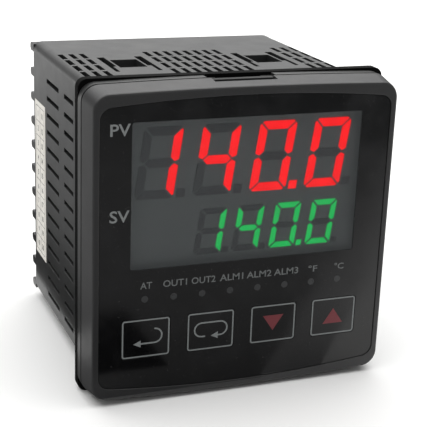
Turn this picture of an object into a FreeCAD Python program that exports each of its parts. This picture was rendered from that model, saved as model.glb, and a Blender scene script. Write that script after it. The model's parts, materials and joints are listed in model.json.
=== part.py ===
"""Panel temperature controller: a 96 x 96 mm instrument with a two-row display and four membrane keys.

Millimetres. The origin is the centre of the panel plane, where the gasket meets the front of the
panel. +X is right as seen from the front, +Y runs into the panel and +Z is up.
"""
import FreeCAD, Part
import Sketcher
import math
import os
from FreeCAD import Vector

SIZES = [
    # Bezel cap: outline at its rear, draft to the front, and the arch of its top and bottom edges.
    ("bezel_width", 96.0),
    ("bezel_height", 96.0),
    ("bezel_draft", 1.0),
    ("arch_top", 0.8),
    ("arch_bottom", 1.1),
    ("bezel_corner", 5.0),
    ("bezel_edge", 0.6),
    ("cap_depth", 8.4),
    ("plate_thick", 3.0),
    ("bezel_wall", 2.3),
    ("inner_bevel", 1.8),
    ("groove_gap", 1.0),
    ("pry_width", 19.5),
    ("pry_length", 5.5),
    ("pry_depth", 1.2),
    # Flange and collar of the case, and the sealing gasket behind them.
    ("flange_thick", 3.3),
    ("collar_gap", 0.2),
    ("latch_width", 14.5),
    ("latch_slot", 1.2),
    ("latch_depth", 2.0),
    ("gasket_thick", 3.2),
    ("gasket_proud", 0.2),
    ("gasket_corner", 2.8),
    ("gasket_gap", 0.1),
    # Case sleeve.
    ("case_width", 86.8),
    ("case_height", 90.4),
    ("case_length", 73.8),
    ("case_wall", 2.0),
    ("case_corner", 3.0),
    ("hollow_bevel", 0.8),
    # Cooling slots in the side walls.
    ("side_slot_rows", 14),
    ("side_slot_pitch", 5.72),
    ("side_slot_top", 35.6),
    ("side_slot_high", 1.5),
    ("front_slot_start", 19.8),
    ("front_slot_length", 11.6),
    ("rear_slot_start", 38.3),
    ("rear_slot_length", 16.3),
    # Cooling slots in the top and bottom walls.
    ("top_slot_wide", 1.7),
    ("top_slot_length", 7.8),
    ("top_slot_pitch", 3.45),
    ("top_slot_row_pitch", 9.4),
    ("top_slot_rows", 4),
    ("top_slot_start", 12.9),
    ("bottom_slot_length", 17.2),
    ("bottom_slot_row_pitch", 18.8),
    ("bottom_slot_rows", 2),
    ("middle_slots", 8),
    ("edge_slots", 3),
    ("edge_slot_place", 33.5),
    # Pockets that take the hooks of the mounting clamps.
    ("hook_place", 22.85),
    ("hook_wide", 8.8),
    ("hook_start", 25.0),
    ("hook_length", 12.2),
    ("hook_depth", 3.4),
    ("hook_floor", 1.2),
    ("hook_cheek", 0.3),
    ("slit_place", 6.2),
    ("slit_wide", 2.4),
    ("slit_narrow", 1.3),
    ("slit_start", 19.0),
    ("slit_step", 7.8),
    ("slit_length", 22.8),
    # Front overlay, display window, keys and indicator lamps.
    ("margin_side", 3.0),
    ("margin_top", 3.6),
    ("margin_bottom", 3.4),
    ("overlay_arch_top", 2.3),
    ("overlay_arch_bottom", 2.6),
    ("overlay_corner", 3.6),
    ("overlay_thick", 0.5),
    ("overlay_gap", 0.15),
    ("overlay_sunk", 0.3),
    ("window_width", 71.4),
    ("window_height", 43.8),
    ("window_level", 16.1),
    ("window_rim", 1.4),
    ("window_rim_top", 0.4),
    ("window_thick", 2.0),
    ("window_gap", 0.15),
    ("window_corner", 0.5),
    ("key_width", 14.9),
    ("key_height", 12.2),
    ("key_corner", 0.7),
    ("key_pitch", 20.4),
    ("key_level", -27.4),
    ("key_gap", 0.15),
    ("key_travel", 0.4),
    ("key_spare", 0.3),
    ("pusher_width", 5.5),
    ("pusher_gap", 0.4),
    ("lamp_width", 2.2),
    ("lamp_pitch", 8.9),
    ("lamp_level", -15.05),
    ("lamp_gap", 0.1),
    # Display board and what it carries.
    ("board_thick", 1.6),
    ("board_place", -4.9),
    ("board_gap", 0.4),
    ("boss_width", 4.0),
    ("boss_inset", 2.3),
    ("board_screw", 2.4),
    ("board_screw_head", 4.2),
    ("board_screw_high", 1.6),
    ("board_screw_length", 4.8),
    ("module_side", 1.7),
    ("module_top", 0.5),
    ("module_bottom", 1.4),
    ("module_gap", 0.1),
    ("segment_thick", 0.25),
    ("segment_joint", 0.3),
    ("segment_corner", 0.45),
    ("pv_width", 11.8),
    ("pv_height", 21.2),
    ("pv_stroke", 2.6),
    ("pv_pitch", 17.7),
    ("pv_right", 30.7),
    ("pv_level", 25.1),
    ("sv_width", 8.4),
    ("sv_height", 14.1),
    ("sv_stroke", 1.8),
    ("sv_pitch", 12.0),
    ("sv_right", 28.8),
    ("sv_level", 3.3),
    ("digit_slant", 8.0),
    ("switch_width", 6.0),
    ("switch_high", 3.5),
    ("plunger_width", 3.4),
    ("plunger_proud", 1.2),
    ("plunger_hidden", 0.9),
    ("plunger_gap", 0.1),
    ("led_width", 1.6),
    ("led_high", 0.8),
    # Rear cover and terminals.
    ("cover_place", 64.5),
    ("cover_thick", 2.0),
    ("cover_gap", 0.2),
    ("cover_raised", 53.6),
    ("rear_slot_columns", 8),
    ("rear_slot_tall", 17.2),
    ("rear_slot_row_pitch", 22.0),
    ("block_floor", 2.5),
    ("block_wall", 1.8),
    ("barrier_pitch", 8.6),
    ("terminals", 10),
    ("barrier_thick", 2.6),
    ("barrier_proud", 5.0),
    ("barrier_chamfer", 0.8),
    ("contact_wide", 5.4),
    ("contact_thick", 0.8),
    ("contact_margin", 1.0),
    ("tail_wide", 2.6),
    ("tail_length", 8.0),
    ("clamp_wide", 5.2),
    ("clamp_thick", 0.8),
    ("screw_width", 3.0),
    ("screw_gap", 0.1),
    ("screw_head", 5.0),
    ("screw_head_high", 1.7),
    ("screw_slot", 0.9),
    ("screw_slot_deep", 0.8),
    ("screw_length", 3.2),
    # Circuit boards standing in the case, and their parts.
    ("side_board_place", 30.5),
    ("side_board_end", 62.0),
    ("core_deep", 16.0),
    ("core_start", 8.0),
    ("core_length", 30.0),
    ("core_low", -30.0),
    ("core_high", 18.0),
    ("winding_inset", 2.0),
    ("winding_proud", 6.0),
    ("can_width", 12.5),
    ("can_high", 20.0),
    ("can_start", 14.0),
    ("can_gap", 2.0),
    ("can_level", 24.0),
    ("relay_start", 34.0),
    ("relay_length", 19.0),
    ("relay_low", -36.0),
    ("relay_wide", 15.5),
    ("relay_high", 15.0),
    ("relay_pitch", 20.0),
    ("chip_start", 8.0),
    ("chip_wide", 12.0),
    ("chip_low", 2.0),
    ("chip_high", 1.6),
    ("small_chip_wide", 7.0),
    ("small_chip_low", -10.0),
    # Rating label on the side wall.
    ("label_start", 57.0),
    ("label_length", 14.6),
    ("label_low", -28.8),
    ("label_high", 54.8),
    ("label_thick", 0.15),
]


doc = FreeCAD.newDocument("panel_temperature_controller")
sheet = doc.addObject("Spreadsheet::Sheet", "Sizes")
for row, (alias, number) in enumerate(SIZES, start=1):
    sheet.set(f"A{row}", alias)
    sheet.set(f"B{row}", str(number))
    sheet.setAlias(f"B{row}", alias)
doc.recompute()

ALIASES = {alias for alias, _ in SIZES}

# Places along +Y, from the gasket's sealing face forward to the front and back to the terminals.
FLANGE_REAR = "(-gasket_thick)"
FLANGE_FRONT = f"({FLANGE_REAR} - flange_thick)"
CAP_REAR = f"({FLANGE_FRONT} - groove_gap)"
FRONT = f"({CAP_REAR} - cap_depth)"
PLATE_REAR = f"({FRONT} + plate_thick)"
OVERLAY_FRONT = f"({FRONT} + overlay_sunk)"
OVERLAY_REAR = f"({OVERLAY_FRONT} + overlay_thick)"
WINDOW_REAR = f"({OVERLAY_REAR} + window_thick)"
BOARD_FRONT = "(board_place)"
BOARD_REAR = "(board_place + board_thick)"
SWITCH_FRONT = f"({BOARD_FRONT} - switch_high)"
PLUNGER_FRONT = f"({SWITCH_FRONT} - plunger_proud)"
MODULE_FRONT = f"({WINDOW_REAR} + segment_thick + module_gap)"
COVER_REAR = "(cover_place + cover_thick)"
CASE_END = "(case_length)"
FLOOR = f"({COVER_REAR} + block_floor)"
CONTACT_TOP = f"({FLOOR} + contact_thick)"
CLAMP_TOP = f"({CONTACT_TOP} + clamp_thick)"
BARRIER_TIP = f"({CASE_END} + barrier_proud)"

# Half widths and heights that more than one piece shares.
CASE_X = "(case_width / 2)"
CASE_Z = "(case_height / 2)"
HOLLOW_X = "(case_width / 2 - case_wall)"
HOLLOW_Z = "(case_height / 2 - case_wall)"
CAVITY_X = "(bezel_width / 2 - bezel_wall)"
CAVITY_Z = "(bezel_height / 2 - arch_bottom - bezel_wall)"
OVERLAY_X = "(bezel_width / 2 - margin_side)"
OVERLAY_TOP = "(bezel_height / 2 - margin_top)"
OVERLAY_BOTTOM = "(bezel_height / 2 - margin_bottom)"
BOARD_X = f"({HOLLOW_X} - board_gap)"
BOARD_Z = f"({HOLLOW_Z} - board_gap)"
WINDOW_X = "(window_width / 2)"
WINDOW_LOW = "(window_level - window_height / 2)"
WINDOW_HIGH = "(window_level + window_height / 2)"
BLOCK_INNER = "(cover_raised / 2 + cover_gap)"
BLOCK_OUTER = f"({HOLLOW_X} - cover_gap)"
BLOCK_Z = f"({HOLLOW_Z} - cover_gap)"
TAIL_INNER = "(side_board_place - contact_thick)"
CONTACT_OUTER = f"({BLOCK_OUTER} - contact_margin)"
TERMINAL_X = f"(({TAIL_INNER} + {CONTACT_OUTER}) / 2)"
FIRST_TERMINAL = "(-(terminals - 1) / 2 * barrier_pitch)"
TERMINAL_RUN = "((terminals - 1) * barrier_pitch)"
TAIL_SPAN = (f"{TAIL_INNER} - screw_gap", "side_board_place + screw_gap")
TAIL_LOW = f"{FIRST_TERMINAL} - tail_wide / 2 - screw_gap"
TAIL_HIGH = f"{FIRST_TERMINAL} + tail_wide / 2 + screw_gap"

KEYS = ("enter", "loop", "down", "up")
KEY_RUN = f"({len(KEYS) - 1} * key_pitch)"
FIRST_KEY = f"(-{KEY_RUN} / 2)"
LAMPS = 8
LAMP_RUN = f"({LAMPS - 1} * lamp_pitch)"
FIRST_LAMP = f"(-{LAMP_RUN} / 2)"
SIDES = {"left": -1, "right": 1}

# Small round pieces that come many times have few sides.
SHANK_SIDES = 6
HEAD_SIDES = 12
# Where a quarter round is halfway through its turn, as a share of its radius.
HALF_TURN = f"{1 - math.sqrt(0.5):.4f}"

PLANES = {"front": "XZ_Plane", "side": "YZ_Plane", "top": "XY_Plane"}


def rule(text):
    """A sizing rule in the sheet's own terms: each size's name gets the sheet's name before it."""
    words = []
    word = ""
    for letter in text + " ":
        if letter.isalnum() or letter == "_":
            word += letter
            continue
        words.append(f"Sizes.{word}" if word in ALIASES else word)
        words.append(letter)
        word = ""
    return "".join(words).strip()


def value(text):
    """The number that a rule gives with the present sizes."""
    return float(sheet.evalExpression(rule(text)))


def new_body(label):
    body = doc.addObject("PartDesign::Body", label)
    body.Label = label
    return body


def origin_part(body, role):
    return next(part for part in body.Origin.OriginFeatures if part.Role == role)


def new_sketch(body, name, plane, place):
    """A sketch on one of the body's own planes, moved along that plane's axis to a place."""
    sketch = body.newObject("Sketcher::SketchObject", name)
    sketch.AttachmentSupport = [(origin_part(body, PLANES[plane]), "")]
    sketch.MapMode = "FlatFace"
    # The front plane's normal points to -Y, the other two planes' normals to +X and +Z.
    sign = "-" if plane == "front" else ""
    sketch.setExpression("AttachmentOffset.Base.z", rule(f"{sign}({place})"))
    return sketch


def size_constraint(sketch, kind, geometry, text):
    """Add a constraint whose size follows a rule."""
    index = sketch.addConstraint(Sketcher.Constraint(kind, *geometry, value(text)))
    sketch.setExpression(f"Constraints[{index}]", rule(text))


def add_arc(sketch, centre, radius, start, end):
    """An arc that runs against the clock from one angle to another, in radians."""
    circle = Part.Circle(Vector(*centre, 0), Vector(0, 0, 1), radius)
    return sketch.addGeometry(Part.ArcOfCircle(circle, start, end), False)


def add_rectangle(sketch, left, right, low, high, corner=None):
    """A rectangle with sharp corners, or with round ones when a corner radius is given."""
    x0, x1, z0, z1 = value(left), value(right), value(low), value(high)
    bend = value(corner) if corner else 0.0
    runs = [
        ((x0 + bend, z0), (x1 - bend, z0)),
        ((x1, z0 + bend), (x1, z1 - bend)),
        ((x1 - bend, z1), (x0 + bend, z1)),
        ((x0, z1 - bend), (x0, z0 + bend)),
    ]
    lines = [
        sketch.addGeometry(Part.LineSegment(Vector(*start, 0), Vector(*end, 0)), False)
        for start, end in runs
    ]
    if corner:
        centres = [
            (x1 - bend, z0 + bend), (x1 - bend, z1 - bend), (x0 + bend, z1 - bend), (x0 + bend, z0 + bend),
        ]
        arcs = [
            add_arc(sketch, centre, bend, math.radians(270 + 90 * turn), math.radians(360 + 90 * turn))
            for turn, centre in enumerate(centres)
        ]
        for index, arc in enumerate(arcs):
            sketch.addConstraint(Sketcher.Constraint("Tangent", lines[index], 2, arc, 1))
            sketch.addConstraint(Sketcher.Constraint("Tangent", arc, 2, lines[(index + 1) % 4], 1))
        for arc in arcs[1:]:
            sketch.addConstraint(Sketcher.Constraint("Equal", arcs[0], arc))
        size_constraint(sketch, "Radius", (arcs[0],), corner)
    else:
        for index, line in enumerate(lines):
            following = lines[(index + 1) % len(lines)]
            sketch.addConstraint(Sketcher.Constraint("Coincident", line, 2, following, 1))
    for index in (0, 2):
        sketch.addConstraint(Sketcher.Constraint("Horizontal", lines[index]))
        sketch.addConstraint(Sketcher.Constraint("Vertical", lines[index + 1]))
    size_constraint(sketch, "DistanceX", (-1, 1, lines[3], 1), left)
    size_constraint(sketch, "DistanceX", (-1, 1, lines[1], 1), right)
    size_constraint(sketch, "DistanceY", (-1, 1, lines[0], 1), low)
    size_constraint(sketch, "DistanceY", (-1, 1, lines[2], 1), high)


def add_square(sketch, across, up, width):
    half = f"({width}) / 2"
    add_rectangle(sketch, f"{across} - {half}", f"{across} + {half}", f"{up} - {half}", f"{up} + {half}")


def add_polygon(sketch, corners):
    """A closed outline of straight lines, each corner placed by two rules."""
    points = [Vector(value(across), value(up), 0) for across, up in corners]
    lines = [
        sketch.addGeometry(Part.LineSegment(point, points[(index + 1) % len(points)]), False)
        for index, point in enumerate(points)
    ]
    for index, (across, up) in enumerate(corners):
        sketch.addConstraint(Sketcher.Constraint("Coincident", lines[index - 1], 2, lines[index], 1))
        size_constraint(sketch, "DistanceX", (-1, 1, lines[index], 1), across)
        size_constraint(sketch, "DistanceY", (-1, 1, lines[index], 1), up)


def add_regular(sketch, across, up, diameter, sides):
    """A regular outline whose corners lie on a circle of the diameter."""
    corners = []
    for number in range(sides):
        turn = 2 * math.pi * (number + 0.5) / sides
        corners.append((
            f"{across} + ({diameter}) * {math.cos(turn) / 2:.6f}",
            f"{up} + ({diameter}) * {math.sin(turn) / 2:.6f}",
        ))
    add_polygon(sketch, corners)


def add_bevelled(sketch, left, right, low, high, bevel):
    """A rectangle with its corners cut off."""
    add_polygon(sketch, [
        (f"{left} + {bevel}", low), (f"{right} - {bevel}", low),
        (right, f"{low} + {bevel}"), (right, f"{high} - {bevel}"),
        (f"{right} - {bevel}", high), (f"{left} + {bevel}", high),
        (left, f"{high} - {bevel}"), (left, f"{low} + {bevel}"),
    ])


def add_arched_outline(sketch, half_width, top, bottom, arch_top, arch_bottom, corner):
    """An outline with straight sides, round corners and a shallow arch at its top and its bottom."""
    crown_radius = f"((({half_width})^2 + ({arch_top})^2) / (2 * {arch_top}))"
    belly_radius = f"((({half_width})^2 + ({arch_bottom})^2) / (2 * {arch_bottom}))"
    crown_centre = f"({top} - {crown_radius})"
    belly_centre = f"(-({bottom}) + {belly_radius})"
    half, bend = value(half_width), value(corner)
    reach = half - bend
    crown, belly = value(crown_radius), value(belly_radius)
    high = math.sqrt((crown - bend) ** 2 - reach ** 2)
    low = math.sqrt((belly - bend) ** 2 - reach ** 2)
    upper, lower = math.atan2(high, reach), math.atan2(low, reach)
    high += value(crown_centre)
    low = value(belly_centre) - low

    right = sketch.addGeometry(Part.LineSegment(Vector(half, low, 0), Vector(half, high, 0)), False)
    arcs_over = [
        add_arc(sketch, (reach, high), bend, 0, upper),
        add_arc(sketch, (0, value(crown_centre)), crown, upper, math.pi - upper),
        add_arc(sketch, (-reach, high), bend, math.pi - upper, math.pi),
    ]
    left = sketch.addGeometry(Part.LineSegment(Vector(-half, high, 0), Vector(-half, low, 0)), False)
    arcs_under = [
        add_arc(sketch, (-reach, low), bend, math.pi, math.pi + lower),
        add_arc(sketch, (0, value(belly_centre)), belly, math.pi + lower, 2 * math.pi - lower),
        add_arc(sketch, (reach, low), bend, 2 * math.pi - lower, 2 * math.pi),
    ]
    outline = [right, *arcs_over, left, *arcs_under]
    for index, part in enumerate(outline):
        following = outline[(index + 1) % len(outline)]
        sketch.addConstraint(Sketcher.Constraint("Tangent", part, 2, following, 1))
    for line in (right, left):
        sketch.addConstraint(Sketcher.Constraint("Vertical", line))
    for arc in (arcs_over[2], arcs_under[0], arcs_under[2]):
        sketch.addConstraint(Sketcher.Constraint("Equal", arcs_over[0], arc))
    size_constraint(sketch, "Radius", (arcs_over[0],), corner)
    for arc, radius, centre in (
        (arcs_over[1], crown_radius, crown_centre), (arcs_under[1], belly_radius, belly_centre),
    ):
        sketch.addConstraint(Sketcher.Constraint("PointOnObject", arc, 3, -2))
        size_constraint(sketch, "Radius", (arc,), radius)
        size_constraint(sketch, "DistanceY", (-1, 1, arc, 3), centre)
    size_constraint(sketch, "DistanceX", (-1, 1, right, 1), half_width)
    size_constraint(sketch, "DistanceX", (-1, 1, left, 1), f"-({half_width})")


def pad(body, name, sketch, length, backward=False):
    """Add material: along the sketch's normal, or against it when backward."""
    feature = body.newObject("PartDesign::Pad", name)
    feature.Profile = sketch
    feature.setExpression("Length", rule(length))
    feature.Reversed = backward
    doc.recompute()
    return feature


def pocket(body, name, sketch, length=None, backward=False, both_ways=False):
    """Cut against the sketch's normal, or along it when backward; without a length, right through."""
    feature = body.newObject("PartDesign::Pocket", name)
    feature.Profile = sketch
    if length is None:
        feature.Type = "ThroughAll"
    else:
        feature.setExpression("Length", rule(length))
    feature.Reversed = backward
    if both_ways:
        feature.SideType = "Symmetric"
    doc.recompute()
    return feature


def repeat(body, name, originals, axis, length, count, axis_2=None, length_2=None, count_2=None):
    """Repeat features along one of the body's axes, or along two."""
    feature = body.newObject("PartDesign::LinearPattern", name)
    feature.Originals = originals
    feature.Direction = (origin_part(body, f"{axis}_Axis"), [""])
    feature.setExpression("Length", rule(length))
    feature.setExpression("Occurrences", rule(count))
    if axis_2:
        feature.Direction2 = (origin_part(body, f"{axis_2}_Axis"), [""])
        feature.setExpression("Length2", rule(length_2))
        feature.setExpression("Occurrences2", rule(count_2))
    body.Tip = feature
    doc.recompute()
    return feature


def block(name, x, y, z):
    """A plain box from three (start, length) rules."""
    box = doc.addObject("Part::Box", name)
    box.Label = name
    for path, text in zip(("Length", "Width", "Height"), (x[1], y[1], z[1])):
        box.setExpression(path, rule(text))
    for path, text in zip("xyz", (x[0], y[0], z[0])):
        box.setExpression(f".Placement.Base.{path}", rule(text))
    return box


def sided(side, inner, outer):
    """The left and right limits of a span that lies on one side of the middle plane."""
    if side < 0:
        return f"-({outer})", f"-({inner})"
    return inner, outer


def add_bezel_outline(body, name, place, inset="0", corner="bezel_corner"):
    """The bezel's arched outline at one depth, smaller all round by the inset there."""
    sketch = new_sketch(body, name, "front", place)
    half_x = f"(bezel_width / 2 - ({inset}))"
    half_z = f"(bezel_height / 2 - ({inset}))"
    add_arched_outline(sketch, half_x, half_z, half_z, "arch_top", "arch_bottom", corner)
    return sketch


def make_bezel():
    """The snap-on front frame: a drafted cap with a plate across it and four posts for the board."""
    body = new_body("bezel")
    make_cap(body)

    cavity = new_sketch(body, "CavityOutline", "front", CAP_REAR)
    add_bevelled(cavity, f"-{CAVITY_X}", CAVITY_X, f"-{CAVITY_Z}", CAVITY_Z, "inner_bevel")
    pocket(body, "Cavity", cavity, "cap_depth - plate_thick", backward=True)

    seat = new_sketch(body, "OverlaySeatOutline", "front", FRONT)
    add_arched_outline(
        seat, f"({OVERLAY_X} + overlay_gap)", f"({OVERLAY_TOP} + overlay_gap)",
        f"({OVERLAY_BOTTOM} + overlay_gap)", "overlay_arch_top", "overlay_arch_bottom",
        "overlay_corner + overlay_gap",
    )
    pocket(body, "OverlaySeat", seat, "overlay_sunk + overlay_thick")

    opening = new_sketch(body, "WindowOutline", "front", OVERLAY_REAR)
    add_rectangle(
        opening, f"-({WINDOW_X} + window_rim + window_gap)", f"{WINDOW_X} + window_rim + window_gap",
        f"{WINDOW_LOW} - window_rim - window_gap", f"{WINDOW_HIGH} + window_rim_top + window_gap",
    )
    pocket(body, "WindowOpening", opening, "plate_thick")

    well = new_sketch(body, "KeyWellOutline", "front", OVERLAY_REAR)
    add_rectangle(
        well, f"{FIRST_KEY} - key_width / 2 - key_gap", f"{FIRST_KEY} + key_width / 2 + key_gap",
        "key_level - key_height / 2 - key_gap", "key_level + key_height / 2 + key_gap",
    )
    wells = pocket(body, "KeyWell", well, "key_travel + key_spare")
    guide = new_sketch(body, "PusherGuideOutline", "front", OVERLAY_REAR)
    add_square(guide, FIRST_KEY, "key_level", "pusher_width + 2 * pusher_gap")
    guides = pocket(body, "PusherGuide", guide, "plate_thick")
    repeat(body, "KeyWells", [wells, guides], "X", KEY_RUN, str(len(KEYS)))

    lamp = new_sketch(body, "LampHoleOutline", "front", OVERLAY_REAR)
    add_square(lamp, FIRST_LAMP, "lamp_level", "lamp_width + 2 * lamp_gap")
    hole = pocket(body, "LampHole", lamp, "plate_thick")
    repeat(body, "LampHoles", [hole], "X", LAMP_RUN, str(LAMPS))

    posts = new_sketch(body, "PostOutlines", "front", PLATE_REAR)
    bores = new_sketch(body, "PostBoreOutlines", "front", BOARD_FRONT)
    for across, up in board_corners():
        add_regular(posts, across, up, "boss_width", HEAD_SIDES)
        add_regular(bores, across, up, "board_screw", SHANK_SIDES)
    pad(body, "Posts", posts, f"{BOARD_FRONT} - {PLATE_REAR}", backward=True)
    pocket(body, "PostBores", bores, f"{BOARD_FRONT} - {PLATE_REAR}", backward=True)

    pry = new_sketch(body, "PryRamp", "side", "0")
    crown = "bezel_height / 2"
    add_polygon(pry, [
        (f"{CAP_REAR} - pry_length", crown),
        (CAP_REAR, f"{crown} - pry_depth"),
        (f"{CAP_REAR} + groove_gap", f"{crown} - pry_depth"),
        (f"{CAP_REAR} + groove_gap", f"{crown} + pry_depth"),
        (f"{CAP_REAR} - pry_length", f"{crown} + pry_depth"),
    ])
    pocket(body, "PryNotch", pry, "pry_width", both_ways=True)


def make_cap(body):
    """The cap's outer form: it narrows with its draft, then turns in over a rounded front edge."""
    turn_in = f"({HALF_TURN} * bezel_edge)"
    cap = body.newObject("PartDesign::AdditiveLoft", "Cap")
    cap.Profile = add_bezel_outline(body, "CapRear", CAP_REAR)
    cap.Sections = [
        add_bezel_outline(body, "CapShoulder", f"{FRONT} + bezel_edge", "bezel_draft"),
        add_bezel_outline(
            body, "CapTurn", f"{FRONT} + {turn_in}", f"bezel_draft + {turn_in}",
            f"bezel_corner - {turn_in}",
        ),
        add_bezel_outline(
            body, "CapFront", FRONT, "bezel_draft + bezel_edge", "bezel_corner - bezel_edge",
        ),
    ]
    cap.Ruled = True
    doc.recompute()


def board_corners():
    """The four places where a screw holds the display board to the bezel's posts."""
    across = f"({BOARD_X} - boss_inset)"
    up = f"({BOARD_Z} - boss_inset)"
    return [(f"{a}{across}", f"{b}{up}") for a in ("-", "") for b in ("-", "")]


def make_overlay():
    """The printed front film, cut out for the window and the keys; the lamps shine through it."""
    body = new_body("front_overlay")
    outline = new_sketch(body, "OverlayOutline", "front", OVERLAY_FRONT)
    add_arched_outline(
        outline, OVERLAY_X, OVERLAY_TOP, OVERLAY_BOTTOM, "overlay_arch_top", "overlay_arch_bottom",
        "overlay_corner",
    )
    pad(body, "Film", outline, "overlay_thick", backward=True)

    window = new_sketch(body, "FilmWindowOutline", "front", OVERLAY_FRONT)
    add_bevelled(window, f"-{WINDOW_X}", WINDOW_X, WINDOW_LOW, WINDOW_HIGH, "window_corner")
    pocket(body, "FilmWindow", window)

    key = new_sketch(body, "FilmKeyOutline", "front", OVERLAY_FRONT)
    add_bevelled(
        key, f"{FIRST_KEY} - key_width / 2 - key_gap", f"{FIRST_KEY} + key_width / 2 + key_gap",
        "key_level - key_height / 2 - key_gap", "key_level + key_height / 2 + key_gap", "key_corner",
    )
    repeat(body, "FilmKeys", [pocket(body, "FilmKey", key)], "X", KEY_RUN, str(len(KEYS)))


def make_window():
    """The smoked window: a plug that fills the film's opening and a rim held behind the film."""
    body = new_body("display_window")
    rim = new_sketch(body, "RimOutline", "front", OVERLAY_REAR)
    add_rectangle(
        rim, f"-({WINDOW_X} + window_rim)", f"{WINDOW_X} + window_rim",
        f"{WINDOW_LOW} - window_rim", f"{WINDOW_HIGH} + window_rim_top",
    )
    pad(body, "Rim", rim, "window_thick", backward=True)
    plug = new_sketch(body, "PlugOutline", "front", OVERLAY_REAR)
    add_bevelled(plug, f"-{WINDOW_X}", WINDOW_X, WINDOW_LOW, WINDOW_HIGH, "window_corner")
    pad(body, "Plug", plug, "overlay_thick")


def make_keys():
    """Four keys: a flexing zone of the film with its pusher, and the switch plunger behind it."""
    for number, key in enumerate(KEYS):
        middle = f"({FIRST_KEY} + {number} * key_pitch)"
        body = new_body(f"key_pad_{key}")
        face = new_sketch(body, f"Face_{key}", "front", OVERLAY_FRONT)
        add_bevelled(
            face, f"{middle} - key_width / 2", f"{middle} + key_width / 2",
            "key_level - key_height / 2", "key_level + key_height / 2", "key_corner",
        )
        pad(body, f"Pad_{key}", face, "overlay_thick", backward=True)
        stem = new_sketch(body, f"Stem_{key}", "front", OVERLAY_REAR)
        add_square(stem, middle, "key_level", "pusher_width")
        pad(body, f"Pusher_{key}", stem, f"{PLUNGER_FRONT} - {OVERLAY_REAR}", backward=True)

        body = new_body(f"switch_plunger_{key}")
        button = new_sketch(body, f"Button_{key}", "front", PLUNGER_FRONT)
        add_regular(button, middle, "key_level", "plunger_width", SHANK_SIDES)
        pad(body, f"Plunger_{key}", button, "plunger_proud + plunger_hidden", backward=True)


def make_switches():
    """The four switch housings on the display board, each with a blind bore for its plunger."""
    body = new_body("tact_switches")
    housing = new_sketch(body, "HousingOutline", "front", SWITCH_FRONT)
    add_square(housing, FIRST_KEY, "key_level", "switch_width")
    shell = pad(body, "Housing", housing, "switch_high", backward=True)
    bore = new_sketch(body, "PlungerBoreOutline", "front", SWITCH_FRONT)
    add_regular(bore, FIRST_KEY, "key_level", "plunger_width + 2 * plunger_gap", SHANK_SIDES)
    hole = pocket(body, "PlungerBore", bore, "plunger_hidden + key_travel + key_spare")
    repeat(body, "Switches", [shell, hole], "X", KEY_RUN, str(len(KEYS)))


def make_case():
    """The moulded case: flange, collar and slotted sleeve with pockets for the clamps' hooks."""
    body = new_body("case")
    flange = add_bezel_outline(body, "FlangeOutline", FLANGE_FRONT)
    pad(body, "Flange", flange, "flange_thick", backward=True)

    collar = new_sketch(body, "CollarOutline", "front", PLATE_REAR)
    half_x = f"({CAVITY_X} - collar_gap)"
    half_z = f"({CAVITY_Z} - collar_gap)"
    add_bevelled(collar, f"-{half_x}", half_x, f"-{half_z}", half_z, "inner_bevel")
    pad(body, "Collar", collar, f"{FLANGE_FRONT} - {PLATE_REAR}", backward=True)

    sleeve = new_sketch(body, "SleeveOutline", "front", FLANGE_REAR)
    add_rectangle(sleeve, f"-{CASE_X}", CASE_X, f"-{CASE_Z}", CASE_Z, "case_corner")
    pad(body, "Sleeve", sleeve, f"{CASE_END} - {FLANGE_REAR}", backward=True)

    hollow = new_sketch(body, "HollowOutline", "front", PLATE_REAR)
    add_bevelled(hollow, f"-{HOLLOW_X}", HOLLOW_X, f"-{HOLLOW_Z}", HOLLOW_Z, "hollow_bevel")
    pocket(body, "Hollow", hollow)

    make_pry_clearance(body)
    make_hook_pockets(body)
    make_side_slots(body)
    make_wall_slots(body)


def make_pry_clearance(body):
    """The lowered strip of the flange behind the bezel's pry notch, and the latch slot in it."""
    strip = new_sketch(body, "StripOutline", "front", FLANGE_FRONT)
    crown = "bezel_height / 2"
    add_rectangle(
        strip, "-pry_width / 2 - groove_gap", "pry_width / 2 + groove_gap",
        f"{crown} - arch_top", f"{crown} + arch_top",
    )
    pocket(body, "Strip", strip, "flange_thick")
    slot = new_sketch(body, "LatchOutline", "front", f"{FLANGE_REAR} - latch_slot")
    add_rectangle(
        slot, "-latch_width / 2", "latch_width / 2",
        f"{crown} - arch_top - latch_depth", f"{crown} + arch_top",
    )
    pocket(body, "LatchSlot", slot, "latch_slot")


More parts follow.
